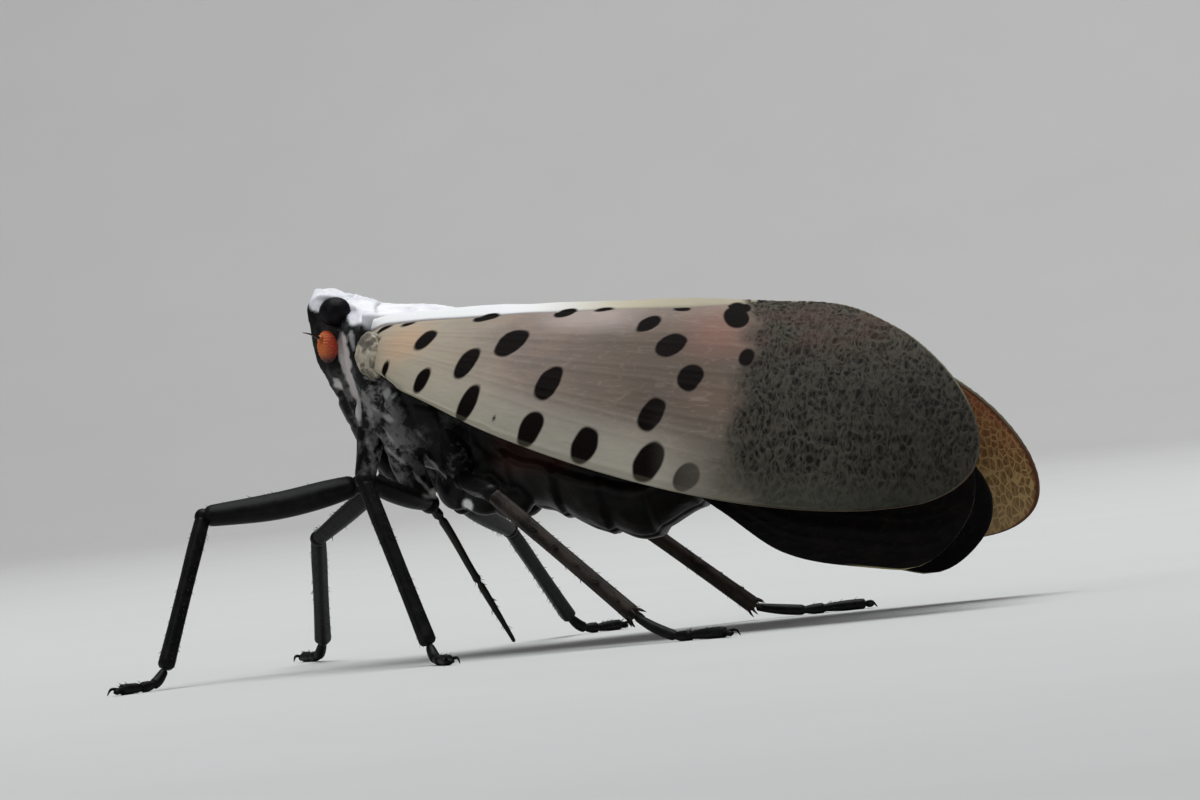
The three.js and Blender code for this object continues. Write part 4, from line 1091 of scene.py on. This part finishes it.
# head, chest, shield and abdomen, with the neck and the swellings between them, fused into one skin
def bodyPiece(material):
    parts = [headPart(), thoraxPart(), shieldPart(), abdomenPart()]
    parts.append(tube(head["neck"], head["neckRadius"], sides=60))
    parts.append(ball(*head["nape"]))
    rims = []
    for side in (-1, 1):
        mirror = np.array([1, side, 1])
        rim = np.array(head["rim"]) * mirror
        rims.append(pathThrough(rim, 40))
        parts.append(tube(rim, head["rimRadius"], 60, 20))
        # cheek round the feeler, the strip behind it, and the ridge down the side of the mouth
        for middle, size in head["cheeks"]:
            parts.append(ball(np.array(middle) * mirror, size))
        parts.append(tube(np.array(head["strip"]) * mirror, head["stripRadius"], 40, 20))
        parts.append(tube(np.array(head["ridge"]) * mirror, head["ridgeRadius"], 40, 18))
        # swellings that carry the legs
        for hip, size in thorax["hips"]:
            parts.append(ball(np.array(hip) * mirror, size))
    part = fuse(joinParts(parts), skin["voxel"], skin["rounds"])
    points = part[0]
    x, y, z = points.T
    seam = bell(x + 6.98 - 0.3 * np.abs(y / 2) ** 2, 0.05) + bell(x + 7.98 + 0.12 * np.abs(y), 0.05)
    seam = seam * smoothStep(z, 12.9, 13.1) * (1 - smoothStep(np.abs(y), 1.9, 2.2))
    points[:, 2] -= skin["seam"] * seam
    rimGap = np.minimum(distanceTo(points, rims[0]), distanceTo(points, rims[1]))
    # where the body is painted white: pale wax on the brow's rim, the shield and the collar, brightened to
    # near white as a painted highlight of the light from above, and a pale spot at a leg's root
    shieldZone = smoothStep(x, -7.2, -7.0) * (1 - smoothStep(x, -3.2, -3.0))
    shieldZone = shieldZone * (1 - smoothStep(np.abs(y) - shieldSkinHalf(x), 0.1, 0.3))
    shieldZone = shieldZone * smoothStep(z, 12.3, 12.6)
    ragged = noiseAt(points, 2.6, 51) * 0.08
    lowest = valueAt(x, thorax["collarLow"])
    collar = (1 - smoothStep(x, -6.7, -6.5)) * smoothStep(z + ragged - lowest, -0.08, 0.08)
    spotX, spotZ = skin["jointSpot"]
    jointSpot = 1 - smoothStep(np.hypot(x - spotX, z - spotZ), 0.16, 0.28)
    white = np.maximum.reduce([1 - smoothStep(rimGap, 0.16, 0.24), shieldZone, collar, jointSpot])
    flank = smoothStep(x, -3.2, -2.2) * (1 - smoothStep(x, -0.2, 1.0)) * smoothStep(z + ragged, 6.2, 6.9)
    fields = {
        "white": white,
        "pale": markField(points, False),
        "dark": markField(points, True),
        "abdomen": smoothStep(x, -3.9, -3.4) * (1 - smoothStep(z - 11.6, 0, 0.4)),
        "face": 1 - smoothStep(x, -7.9, -7.6),
        "dust": dustField(points),
        "flank": flank,
        "seam": seam,
    }
    piece = makePiece("body_skin", part, material, fields)
    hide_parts("head", "clypeus", "pronotum", "thorax", "abdomen")
    return piece


def bodyMaterial():
    material, base = newMaterial("waxed_chitin")
    where = objectPlace(base)
    fine = noise(base, where, 5200.0, 3.0, 0.6)
    grain = noise(base, where, 1800.0, 4.0, 0.65, 0.5)
    blotch = noise(base, where, 620.0, 4.0, 0.62, 0.8)
    white, back = attribute(base, "white"), attribute(base, "abdomen")
    face = attribute(base, "face")
    black = mixColours(base, grain.step(0.4, 0.7), paint(8, 7, 8), paint(24, 22, 22))
    # wax: grey flecks over the black, pale marks on the sides, and pale wax on the collar, shield and brow,
    # painted near white there as a painted highlight of the light from above
    flecks = (blotch * 0.7 + grain * 0.3 + face * 0.03).step(0.52, 0.66) * (1 - back)
    colour = mixColours(base, flecks * 0.22, black, paint(112, 114, 114))
    marks = (attribute(base, "pale") + (grain - 0.5) * 0.9 + (blotch - 0.5) * 0.8).step(0.15, 0.95)
    dust = attribute(base, "dust") * (grain * 0.55 + blotch * 0.45).step(0.46, 0.57)
    colour = mixColours(base, dust * 0.8, colour, paint(146, 142, 142))
    wax = mixColours(base, face, paint(160, 162, 160), paint(204, 197, 196))
    colour = mixColours(base, marks, colour, wax)
    colour = mixColours(base, attribute(base, "dark") * 0.95, colour, paint(10, 9, 12))
    # painted shade: the abdomen is near black all over, its black bands kept and the yellow between them
    # darkened as the deep shadow under the wings
    belly = mixColours(base, grain.step(0.4, 0.75), paint(8, 7, 6), paint(24, 17, 13))
    flank = attribute(base, "flank") * blotch.step(0.35, 0.6)
    belly = mixColours(base, flank * 0.7, belly, paint(56, 30, 20))
    colour = mixColours(base, back, colour, belly)
    # painted highlight: near white on the collar, shield and brow, where pale wax is lit from above
    pale = mixColours(base, blotch.step(0.35, 0.62), paint(222, 221, 228), paint(246, 246, 246))
    pale = mixColours(base, (1 - grain.step(0.26, 0.36)) * 0.4, pale, paint(150, 144, 156))
    pale = mixColours(base, attribute(base, "seam") * 0.6, pale, paint(112, 104, 114))
    colour = mixColours(base, white * (1 - attribute(base, "dark")), colour, pale)
    waxed = (flecks + marks + white).step(0.0, 1.0)
    rough = mixColours(base, waxed, (0.42, 0.42, 0.42, 1), (0.7, 0.7, 0.7, 1))
    values = {"Base Color": colour, "Roughness": rough, "Specular IOR Level": 0.16}
    return finish(material, base, values, grain * 0.6 + fine * 0.4 + waxed * 0.3, 0.03)


# Eyes: black, with rows of small facets

eye = {
    "shift": np.array([0.08, 0.02, -0.01]),
    "size": np.array([0.6, 0.54, 0.53]),
    "rows": 150,
    "columns": 190,
    "facet": 0.075,
    "facetHeight": 0.012,
}


# an egg-shaped ball with a net of facets on it
def eyePiece(side, material):
    middle = (eyeMiddle + eye["shift"]) * np.array([1, -side, 1])

    # facets: a net over the ball, low on its lines
    def facets(out):
        turn = np.arctan2(out[..., 2], out[..., 0])
        tilt = np.arccos(np.clip(out[..., 1], -1, 1))
        around = turn * np.maximum(np.sin(tilt), 0.3).round(1) / eye["facet"]
        net = netField(tilt / eye["facet"], around, 7, 0.12)
        return eye["facetHeight"] * smoothStep(net, 0, 0.35)

    part = ball(middle, eye["size"], eye["rows"], eye["columns"], facets)
    name = "left" if side < 0 else "right"
    piece = makePiece(f"eye_{name}_lens", part, material)
    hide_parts(f"eye_{name}")
    return piece


def eyeMaterial():
    material, base = newMaterial("black_eye")
    where = objectPlace(base)
    cloud = noise(base, where, 900.0, 3.0)
    colour = mixColours(base, cloud.step(0.35, 0.7), paint(6, 6, 9), paint(18, 14, 19))
    cellWays = {"feature": "DISTANCE_TO_EDGE"}
    cells = base.node("ShaderNodeTexVoronoi", cellWays, {"Vector": where, "Scale": 14000.0})
    values = {"Base Color": colour, "Roughness": 0.22, "Coat Weight": 0.04, "Coat Roughness": 0.08}
    values["Specular IOR Level"] = 0.08
    return finish(material, base, values, cells.step(0.0, 0.12), 0.004)


# Feelers: a dark stem, an orange bulb set with small warts, and a fine dark bristle on a knob

feeler = {
    "bulb": np.array([-8.66, 2.02, 11.93]),
    "size": np.array([0.35, 0.4, 0.57]),
    "wart": 0.21,
    "wartHeight": 0.035,
    "stemRadius": [0.27, 0.3, 0.25],
    "knobRadius": [0.12, 0.13, 0.09],
    "bristleRadius": [0.07, 0.035, 0.012],
    "darkness": [0.0, 0.75, 0.35, 1.0],
}


# bulb, stem, knob and bristle as one piece
def feelerPiece(side, material):
    mirror = np.array([1, side, 1])
    middle = feeler["bulb"] * mirror

    # small warts set in rows over the bulb
    def warts(out):
        turn = np.arctan2(out[..., 1], out[..., 0])
        tilt = np.arccos(np.clip(out[..., 2], -1, 1))
        around = turn * np.maximum(np.sin(tilt), 0.35) / feeler["wart"]
        net = netField(tilt / feeler["wart"], around, 19, 0.3)
        return feeler["wartHeight"] * smoothStep(net, 0.1, 0.6) + 0.02 * noiseAt(out, 2.5, 6)

    bulb = ball(middle, feeler["size"], 90, 120, warts)
    root = middle + np.array([0.05, -side * 0.8, 0.1])
    stem = tube([root, middle + np.array([0, -side * 0.3, 0.02])], feeler["stemRadius"], 24, 30, 0.3)
    knobStart = middle + np.array([-0.12, side * 0.26, 0.3])
    knob = tube([knobStart, knobStart + np.array([-0.1, side * 0.16, 0.08])], feeler["knobRadius"], 20, 20)
    bristleEnd = knobStart + np.array([-0.42, side * 1.15, 0.3])
    bend = mix(knobStart, bristleEnd, 0.5) + np.array([-0.05, 0, 0.06])
    bristle = tube([knobStart, bend, bristleEnd], feeler["bristleRadius"], 40, 12)
    part = joinParts([bulb, stem, knob, bristle])
    counts = [len(piece[0]) for piece in (bulb, stem, knob, bristle)]
    dark = np.repeat(feeler["darkness"], counts)
    # how far below the bulb's middle each point lies, read by the material for painted shade on the bulb's
    # underside
    low = np.clip((middle[2] - part[0][:, 2]) / 0.6, -1, 1)
    rear = np.clip((part[0][:, 0] - middle[0]) / 0.45, -1, 1)
    name = "left" if side < 0 else "right"
    piece = makePiece(f"feeler_{name}", part, material, {"dark": dark, "low": low, "rear": rear})
    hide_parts(f"antenna_{name}")
    return piece


def feelerMaterial():
    material, base = newMaterial("orange_feeler")
    where = objectPlace(base)
    cloud = noise(base, where, 2200.0, 4.0)
    rear, low = attribute(base, "rear"), attribute(base, "low")
    colour = mixColours(base, (rear + cloud * 0.8).step(-0.1, 1.1), paint(214, 112, 44), paint(176, 56, 26))
    # painted shade: the bulb darkens to near black on its underside
    colour = mixColours(base, low.step(0.3, 0.95), colour, paint(58, 16, 10))
    colour = mixColours(base, attribute(base, "dark"), colour, paint(34, 20, 17))
    values = {"Base Color": colour, "Roughness": 0.36, "Specular IOR Level": 0.5, "Subsurface Weight": 0.15}
    values["Subsurface Radius"] = (0.0004, 0.00015, 0.00008)
    return finish(material, base, values, cloud, 0.012)


# Scales over the wing roots

tegula = {"middle": np.array([-6.84, 2.84, 11.44]), "size": np.array([0.56, 0.36, 0.86])}


# an egg-shaped ball, flattened towards the wing
def tegulaPiece(side, material):
    middle = tegula["middle"] * np.array([1, side, 1])

    # growth ridges that follow the outline, and a flat side towards the wing
    def ridges(out):
        ring = np.hypot(out[..., 2] + 0.5, out[..., 0] - 0.6)
        folds = 0.02 * np.sin(ring * 16) - 0.06 * smoothStep(out[..., 0], 0.3, 1.0)
        return folds + 0.05 * noiseAt(out, 2.2, 9) + 0.03 * noiseAt(out, 5.0, 10)

    part = ball(middle, tegula["size"], 90, 110, ridges)
    down = (middle[2] - part[0][:, 2]) / tegula["size"][2]
    name = "left" if side < 0 else "right"
    piece = makePiece(f"scale_{name}", part, material, {"down": down})
    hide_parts(f"tegula_{name}")
    return piece


def tegulaMaterial():
    material, base = newMaterial("mottled_scale")
    where = objectPlace(base)
    blotch = noise(base, where, 1900.0, 4.0, 0.6, 0.8)
    grain = noise(base, where, 3500.0, 3.0)
    # cream, with dark marks that are thickest at its upper and lower ends
    mottle = (blotch + abs(attribute(base, "down")) * 0.12).step(0.5, 0.66)
    cream = mixColours(base, grain.step(0.4, 0.7), paint(176, 168, 150), paint(204, 194, 174))
    colour = mixColours(base, mottle * 0.68, cream, paint(52, 48, 48))
    values = {"Base Color": colour, "Roughness": 0.6, "Specular IOR Level": 0.2}
    return finish(material, base, values, blotch * 0.6 + grain * 0.4, 0.03)


# Legs: hip, thigh, shin and foot as one piece each

segmentLengths = {"front": (6.1, 6.3, 2.3), "middle": (5.0, 6.9, 2.3), "hind": (4.9, 7.4, 4.2)}
ankleHeight = 0.72
soleHeight = 0.2

# pair, hip, root of the thigh, knee and ankle along and above the floor, and the foot's turn in degrees
legs = {
    "left_front": ("front", [-7.45, -1.55, 9.4], [-7.83, -2.0, 6.75], (-13.82, 6.14), (-15.08, None), 125),
    "right_front": ("front", [-7.45, 1.55, 9.4], [-7.87, 1.95, 6.8], (-11.8, 4.79), (-13.19, None), 125),
    "left_middle": ("middle", [-6.1, -1.65, 9.0], [-5.42, -1.95, 5.76], (-6.69, 6.9), (-4.41, None), 60),
    "right_middle": ("middle", [-6.1, 1.65, 9.0], [-5.12, 1.95, 5.58], (-4.48, 4.38), (-3.81, None), 40),
    "left_hind": ("hind", [-4.75, -1.7, 8.8], [-4.0, -2.2, 6.5], (-2.03, 5.97), (3.21, 1.0), 28),
    "right_hind": ("hind", [-4.75, 1.7, 8.8], [-4.0, 2.2, 6.4], (-0.44, 5.22), (4.32, 0.5), 10),
}

legSizes = {
    "coxa": {"front": [0.4, 0.5, 0.48, 0.42, 0.36], "middle": [0.5, 0.66, 0.62, 0.5, 0.38],
             "hind": [0.55, 0.7, 0.66, 0.52, 0.4]},
    "sway": {"front": 0.12, "middle": -0.4, "hind": 0.1},
    "femur": np.array([0.3, 0.38, 0.4, 0.39, 0.35, 0.3]),
    "stout": {"left_front": 1.38, "left_middle": 1.08},
    "sag": {"left_front": 0.16, "left_middle": 0.06},
    "paleSpot": {"left_middle": (0.28, 0.38), "right_middle": (0.26, -0.02)},
    "tibia": [0.27, 0.29, 0.28, 0.28, 0.29, 0.31],
    "trochanter": [0.3, 0.38, 0.35, 0.3],
    "kneeCap": [0.32, 0.3, 0.32],
    "pad": [0.16, 0.16, 0.1],
    "clawRadius": [0.07, 0.06, 0.045, 0.012],
    "footJoints": {"front": [0.0, 0.34, 0.56, 1.0], "middle": [0.0, 0.34, 0.56, 1.0],
                   "hind": [0.0, 0.45, 0.62, 1.0]},
    "heelDrop": {"front": 0.8, "middle": 0.8, "hind": 0.6},
    "hairs": 90,
    "hairLength": (0.1, 0.2),
    "sideSpines": 5,
    "sideSpineRadius": [0.12, 0.1, 0.06, 0.012],
    "crownSpines": 8,
    "crownSpineRadius": [0.07, 0.06, 0.04, 0.01],
}


# the point out to the side that a length leaves, at a given place along and above the floor
def reachOut(start, x, z, length, side):
    rest = length**2 - (x - start[0]) ** 2 - (z - start[2]) ** 2
    return np.array([x, start[1] + side * math.sqrt(max(rest, 0)), z])


# where a leg bends: each joint lies one segment's length from the last, and the sole is on the floor
def legJoints(name):
    pair, hip, trochanter, knee, ankle, turn = legs[name]
    side = -1 if name.startswith("left") else 1
    femur, tibia, tarsus = segmentLengths[pair]
    hip, trochanter = np.array(hip), np.array(trochanter)
    knee = reachOut(trochanter, *knee, femur, side)
    ankle = reachOut(knee, ankle[0], ankle[1] or ankleHeight, tibia, side)
    run = math.sqrt(tarsus**2 - (ankle[2] - soleHeight) ** 2)
    turn = math.radians(turn)
    toe = ankle + np.array([run * math.cos(turn), side * run * math.sin(turn), soleHeight - ankle[2]])
    return pair, side, hip, trochanter, knee, ankle, toe


# short hairs that lean along a limb, on seeded places round it
def hairsAlong(start, end, radius, count, seed):
    draw = np.random.default_rng(seed)
    along = unit(end - start)
    helper = np.array([0, 0, 1.0]) if abs(along[2]) < 0.8 else np.array([1.0, 0, 0])
    across = unit(np.cross(helper, along))
    over = np.cross(along, across)
    place = draw.uniform(0.06, 0.97, count)[:, None]
    angle = draw.uniform(0, 2 * math.pi, count)[:, None]
    out = across * np.cos(angle) + over * np.sin(angle)
    roots = mix(start, end, place) + out * (radius - 0.03)
    length = draw.uniform(*legSizes["hairLength"], count)[:, None]
    tips = roots + out * (length * 0.75 + 0.03) + along * length
    return spinesOn(roots, tips, np.full(count, 0.013))


# thigh and shin: a squared section with sharp edges, swollen at the joints
def limbSegment(start, end, radii, flat, square, sag=0.0):
    middle = mix(start, end, 0.5) - np.array([0, 0, sag])
    return tube([start, middle, end], radii, 70, 32, 0.8, flat=flat, square=square)


# the limbs as tubes between the joints, with spines on the hind shins and hairs all over
def legPiece(name, material):
    pair, side, hip, trochanter, knee, ankle, toe = legJoints(name)
    up = np.array([0, 0, 1.0])
    inward = unit(np.array([0.0, -side, 0.6]))
    bulge = mix(hip, trochanter, 0.5) + np.array([legSizes["sway"][pair], 0, 0])
    coxa = tube([hip + inward * 0.35, bulge, trochanter], legSizes["coxa"][pair], 60, 36, 0.9, square=0.03)
    thigh = unit(knee - trochanter)
    jointEnds = [trochanter - thigh * 0.3, trochanter + thigh * 0.5]
    joint = tube(jointEnds, legSizes["trochanter"], 30, 28, 0.8)
    thickness = legSizes["femur"] * legSizes["stout"].get(name, 1.0)
    sag = legSizes["sag"].get(name, 0.0)
    femur = limbSegment(trochanter + thigh * 0.2, knee, thickness, 0.9, 0.035, sag)
    kneeCap = ball(knee, legSizes["kneeCap"], 24, 30)
    tibia = limbSegment(knee, ankle, legSizes["tibia"], 1.0, 0.075)
    # foot: three joints, each widening to its end, then a pad between two claws
    heelZ = mix(ankle[2], soleHeight, legSizes["heelDrop"][pair])
    heel = mix(ankle, toe, 0.22) * np.array([1, 1, 0]) + up * heelZ
    sole = mix(ankle, toe, 0.45) * np.array([1, 1, 0]) + up * soleHeight
    path = pathThrough([ankle, heel, sole, mix(sole, toe, 0.5), toe], 90)
    place = np.linspace(0, 1, 90)
    ends = np.array(legSizes["footJoints"][pair])
    index = np.clip(np.searchsorted(ends, place, side="right") - 1, 0, 2)
    part = (place - ends[index]) / (ends[index + 1] - ends[index])
    widening = 0.075 * np.sin(np.clip(part * 1.12, 0, 1) * math.pi * 0.62) ** 0.7
    width = 0.13 + widening - 0.06 * bell(part - 1, 0.05)
    foot = closedLoft(tubeRings(path, roundedEnds(width, path, 0.6), 24))
    forward = unit((toe - heel) * np.array([1, 1, 0]))
    aside = np.array([-forward[1], forward[0], 0])
    pad = ball(toe + forward * 0.12 - up * 0.06, legSizes["pad"], 20, 26)
    parts = [coxa, joint, femur, kneeCap, tibia, foot, pad]
    for hand in (-1, 1):
        root = toe - forward * 0.1 + aside * hand * 0.08
        bend = root + forward * 0.3 + aside * hand * 0.17 + up * 0.05
        tip = bend + forward * 0.2 + aside * hand * 0.03 - up * (bend[2] - 0.03)
        parts.append(tube([root, bend, tip], legSizes["clawRadius"], 26, 14))
    solidCount = len(parts)
    if pair == "hind":
        down = unit(ankle - knee)
        outside = np.array([0.15, side, 0.35])
        outside = unit(outside - down * (outside @ down))
        across = np.cross(down, outside)
        for i in range(legSizes["sideSpines"]):
            t = i / (legSizes["sideSpines"] - 1)
            root = mix(knee, ankle, mix(0.3, 0.86, t)) + outside * 0.12
            reach = 0.62 * mix(0.85, 1.1, t)
            tip = root + outside * (reach - 0.1) + down * reach * 0.62
            middle = mix(root, tip, 0.5) + outside * 0.05
            parts.append(tube([root, middle, tip], legSizes["sideSpineRadius"], 24, 16))
        for i in range(legSizes["crownSpines"]):
            angle = 2 * math.pi * i / legSizes["crownSpines"]
            radial = outside * math.cos(angle) + across * math.sin(angle)
            root = ankle - down * 0.3 + radial * 0.18
            tip = root + radial * 0.2 + down * 0.45
            middle = mix(root, tip, 0.5) + radial * 0.03
            parts.append(tube([root, middle, tip], legSizes["crownSpineRadius"], 18, 12))
    spineCount = len(parts)
    seed = 100 + list(legs).index(name) * 10
    parts.append(hairsAlong(trochanter, knee, 0.34, legSizes["hairs"], seed))
    parts.append(hairsAlong(knee, ankle, 0.28, legSizes["hairs"], seed + 1))
    parts.append(hairsAlong(sole, toe, 0.18, legSizes["hairs"] // 2, seed + 2))
    joined = joinParts(parts)
    points = joined[0]
    points[:, 2] = np.maximum(points[:, 2], 0.0)
    counts = [len(piece[0]) for piece in parts]
    kind = np.repeat(np.arange(len(parts)), counts)
    spotX, spotZ = legSizes["paleSpot"].get(name, (9.0, 9.0))
    jointGap = np.hypot(points[:, 0] - trochanter[0] - spotX, points[:, 2] - trochanter[2] - spotZ)
    fields = {
        "hip": (kind == 0).astype(float),
        "pale": markField(points, False) * (kind == 0),
        "dust": dustField(points) * (kind == 0),
        "spot": 1 - smoothStep(jointGap, 0.12, 0.25),
        "shin": ((kind == 4) | ((kind >= solidCount) & (kind < spineCount))).astype(float),
        "hind": np.full(len(points), float(pair == "hind")),
        "hair": (kind >= spineCount).astype(float),
    }
    piece = makePiece(f"leg_{name}", joined, material, fields)
    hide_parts(*(f"{segment}_{name}" for segment in ("coxa", "femur", "tibia", "tarsus")))
    return piece


def legMaterial():
    material, base = newMaterial("black_leg")
    where = objectPlace(base)
    grain = noise(base, where, 2600.0, 4.0, 0.6)
    blotch = noise(base, where, 700.0, 4.0, 0.6, 0.8)
    colour = mixColours(base, grain.step(0.4, 0.7), paint(7, 7, 8), paint(21, 20, 19))
    bands = (blotch * 0.5 + grain * 0.5).step(0.55, 0.63)
    colour = mixColours(base, attribute(base, "hip") * bands * 0.4, colour, paint(108, 110, 110))
    dust = attribute(base, "dust") * (grain * 0.5 + blotch * 0.5).step(0.46, 0.57)
    colour = mixColours(base, dust * 0.75, colour, paint(136, 132, 132))
    marks = (attribute(base, "pale") + (grain - 0.5) * 0.9).step(0.15, 0.9)
    colour = mixColours(base, marks * 0.9, colour, paint(150, 148, 148))
    # painted sheen: the hind shins and their spines turn brown, standing in for sky light reflecting off the
    # black chitin
    brown = mixColours(base, blotch.step(0.4, 0.6), paint(30, 23, 19), paint(62, 52, 45))
    colour = mixColours(base, attribute(base, "shin") * attribute(base, "hind") * 0.6, colour, brown)
    colour = mixColours(base, attribute(base, "spot") * 0.9, colour, paint(206, 205, 198))
    colour = mixColours(base, attribute(base, "hair") * 0.7, colour, paint(52, 48, 45))
    rough = mixColours(base, grain, (0.34, 0.34, 0.34, 1), (0.56, 0.56, 0.56, 1))
    values = {"Base Color": colour, "Roughness": rough, "Specular IOR Level": 0.1}
    return finish(material, base, values, grain * 0.7 + blotch * 0.3, 0.02)


# Beak: a tube of four joints from the mouth back under the chest

beak = {
    "path": [[-7.95, 0, 8.15], [-7.1, 0, 6.95], [-5.7, 0, 5.45], [-4.5, 0, 3.0], [-3.35, 0, 0.6],
             [-3.22, 0, 0.3]],
    "radii": [0.33, 0.28, 0.18, 0.14, 0.13, 0.07],
    "joints": [0.16, 0.42, 0.72],
}


# a tube along the path, pinched at its joints, with a groove along it and short hairs
def beakPiece(material):
    count = 160
    path = pathThrough(beak["path"], count)
    place = np.linspace(0, 1, count)
    size = valueAt(place, np.stack([np.linspace(0, 1, len(beak["radii"])), beak["radii"]], -1))
    for joint in beak["joints"]:
        size = size - 0.06 * bell(place - joint, 0.008) + 0.02 * bell(place - joint + 0.02, 0.012)
    angle = np.linspace(0, 2 * math.pi, 36, endpoint=False)
    groove = 1 - 0.22 * bell(angle - math.pi / 2, 0.18)
    rings = tubeRings(path, roundedEnds(size, path)[:, None] * groove[None, :], 36)
    part = closedLoft(rings)
    part = joinParts([part, hairsAlong(path[100], path[-8], 0.13, 40, 71)])
    part[0][:, 2] = np.maximum(part[0][:, 2], 0.0)
    piece = makePiece("beak_sheath", part, material, {"tip": smoothStep(3 - part[0][:, 2], 0, 2.6)})
    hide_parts("beak")
    return piece


def beakMaterial():
    material, base = newMaterial("black_beak")
    where = objectPlace(base)
    grain = noise(base, where, 2200.0, 4.0)
    colour = mixColours(base, grain.step(0.35, 0.7), paint(12, 10, 10), paint(32, 26, 22))
    colour = mixColours(base, attribute(base, "tip") * 0.7, colour, paint(9, 7, 7))
    values = {"Base Color": colour, "Roughness": 0.42, "Specular IOR Level": 0.3}
    return finish(material, base, values, grain, 0.02)


# Floor, light and camera

studio = {
    "floor": (196, 196, 194),
    "size": 1.2,
    "sweep": 0.25,
    "back": 0.45,
    "keyPower": 0.28,
    "topPower": 1.5,
    "fillPower": 0.1,
    "wallPower": 1.6,
    "world": 0.18,
}


# a floor that sweeps up into a backdrop: straight, a quarter circle, then straight again
def backdrop():
    size, radius, back = studio["size"], studio["sweep"], studio["back"]
    t = np.linspace(0, math.pi / 2, 24)
    y = np.concatenate([[-size], back + radius * np.sin(t), [back + radius]])
    z = np.concatenate([[0], radius * (1 - np.cos(t)), [size]])
    points = np.stack(np.broadcast_arrays(np.array([-size, size])[:, None], y, z), -1).reshape(-1, 3)
    mesh = bpy.data.meshes.new("backdrop")
    mesh.from_pydata(points.tolist(), [], gridFaces(2, len(y), False)[:, ::-1].tolist())
    mesh.polygons.foreach_set("use_smooth", np.ones(len(mesh.polygons), bool))
    material, base = newMaterial("pale_paper")
    grain = noise(base, objectPlace(base), 60.0, 4.0)
    tone = mixColours(base, grain, paint(202, 202, 200), paint(*studio["floor"]))
    mesh.materials.append(finish(material, base, {"Base Color": tone, "Roughness": 0.8}))
    piece = bpy.data.objects.new("backdrop", mesh)
    bpy.context.scene.collection.objects.link(piece)


# a round lamp that looks at the insect, or at another point
def areaLight(name, place, size, power, colour, aim=(0, 0, 0.008)):
    light = bpy.data.lights.new(name, "AREA")
    light.shape = "DISK"
    light.size = size
    light.energy = power
    light.color = colour
    lamp = bpy.data.objects.new(name, light)
    lamp.location = place
    lamp.rotation_euler = (Vector(aim) - Vector(place)).to_track_quat("-Z", "Y").to_euler()
    bpy.context.scene.collection.objects.link(lamp)


# a dim bluish sky and four lamps
def lights():
    world = bpy.data.worlds.new("studio")
    world.use_nodes = True
    shade = world.node_tree.nodes["Background"]
    shade.inputs["Color"].default_value = (0.92, 0.95, 1.0, 1)
    shade.inputs["Strength"].default_value = studio["world"]
    bpy.context.scene.world = world
    areaLight("sky", (0.02, 0.0, 0.4), 0.35, studio["topPower"], (0.95, 0.98, 1.0))
    areaLight("key", (-0.25, -0.42, 0.3), 0.2, studio["keyPower"], (1.0, 0.98, 0.95))
    areaLight("fill", (0.45, -0.3, 0.12), 0.3, studio["fillPower"], (1.0, 1.0, 1.0))
    areaLight("wall", (0, 0.26, 0.5), 0.4, studio["wallPower"], (1.0, 1.0, 1.0), (0, 0.7, 0.16))


camera = {
    "azimuth": math.radians(12),
    "roll": math.radians(6),
    "distance": 320.0,
    "pixelsPerMillimetre": 27.0,
    "imageWidth": 1200,
    "sensor": 36.0,
    "aimHeight": 7.0,
    "aimRight": 0.733,
    "aimUp": 2.0,
}


# looks at the insect's left side, turned a little about the upright and rolled as the photo is
def setCamera():
    turn, roll = camera["azimuth"], camera["roll"]
    ahead = np.array([-math.sin(turn), math.cos(turn), 0])
    level = np.array([math.cos(turn), math.sin(turn), 0])
    up = np.array([0, 0, 1.0])
    right = level * math.cos(roll) - up * math.sin(roll)
    above = level * math.sin(roll) + up * math.cos(roll)
    aim = np.array([0, 0, camera["aimHeight"]]) + right * camera["aimRight"] + above * camera["aimUp"] + shift
    place = (aim - ahead * camera["distance"]) * millimetre
    data = bpy.data.cameras.new("camera")
    data.sensor_width = camera["sensor"]
    data.lens = camera["pixelsPerMillimetre"] * camera["sensor"] * camera["distance"] / camera["imageWidth"]
    data.clip_start = 0.02
    data.clip_end = 10
    eyepiece = bpy.data.objects.new("camera", data)
    axes = Matrix((right, above, -ahead)).transposed().to_4x4()
    eyepiece.matrix_world = Matrix.Translation(place.tolist()) @ axes
    bpy.context.scene.collection.objects.link(eyepiece)
    bpy.context.scene.camera = eyepiece


setCamera()
lights()
backdrop()
bpy.context.scene.view_settings.view_transform = "Standard"
print("camera, lights and backdrop set")

wingSkin = forewingMaterial()
fanSkin = hindwingMaterial()
lens = eyeMaterial()
orange = feelerMaterial()
scale = tegulaMaterial()
for hand in (-1, 1):
    forewingPiece(hand, wingSkin)
    hindwingPiece(hand, fanSkin)
    eyePiece(hand, lens)
    feelerPiece(hand, orange)
    tegulaPiece(hand, scale)
bodyPiece(bodyMaterial())
legSkin = legMaterial()
for legName in legs:
    legPiece(legName, legSkin)
beakPiece(beakMaterial())
print("all pieces made")
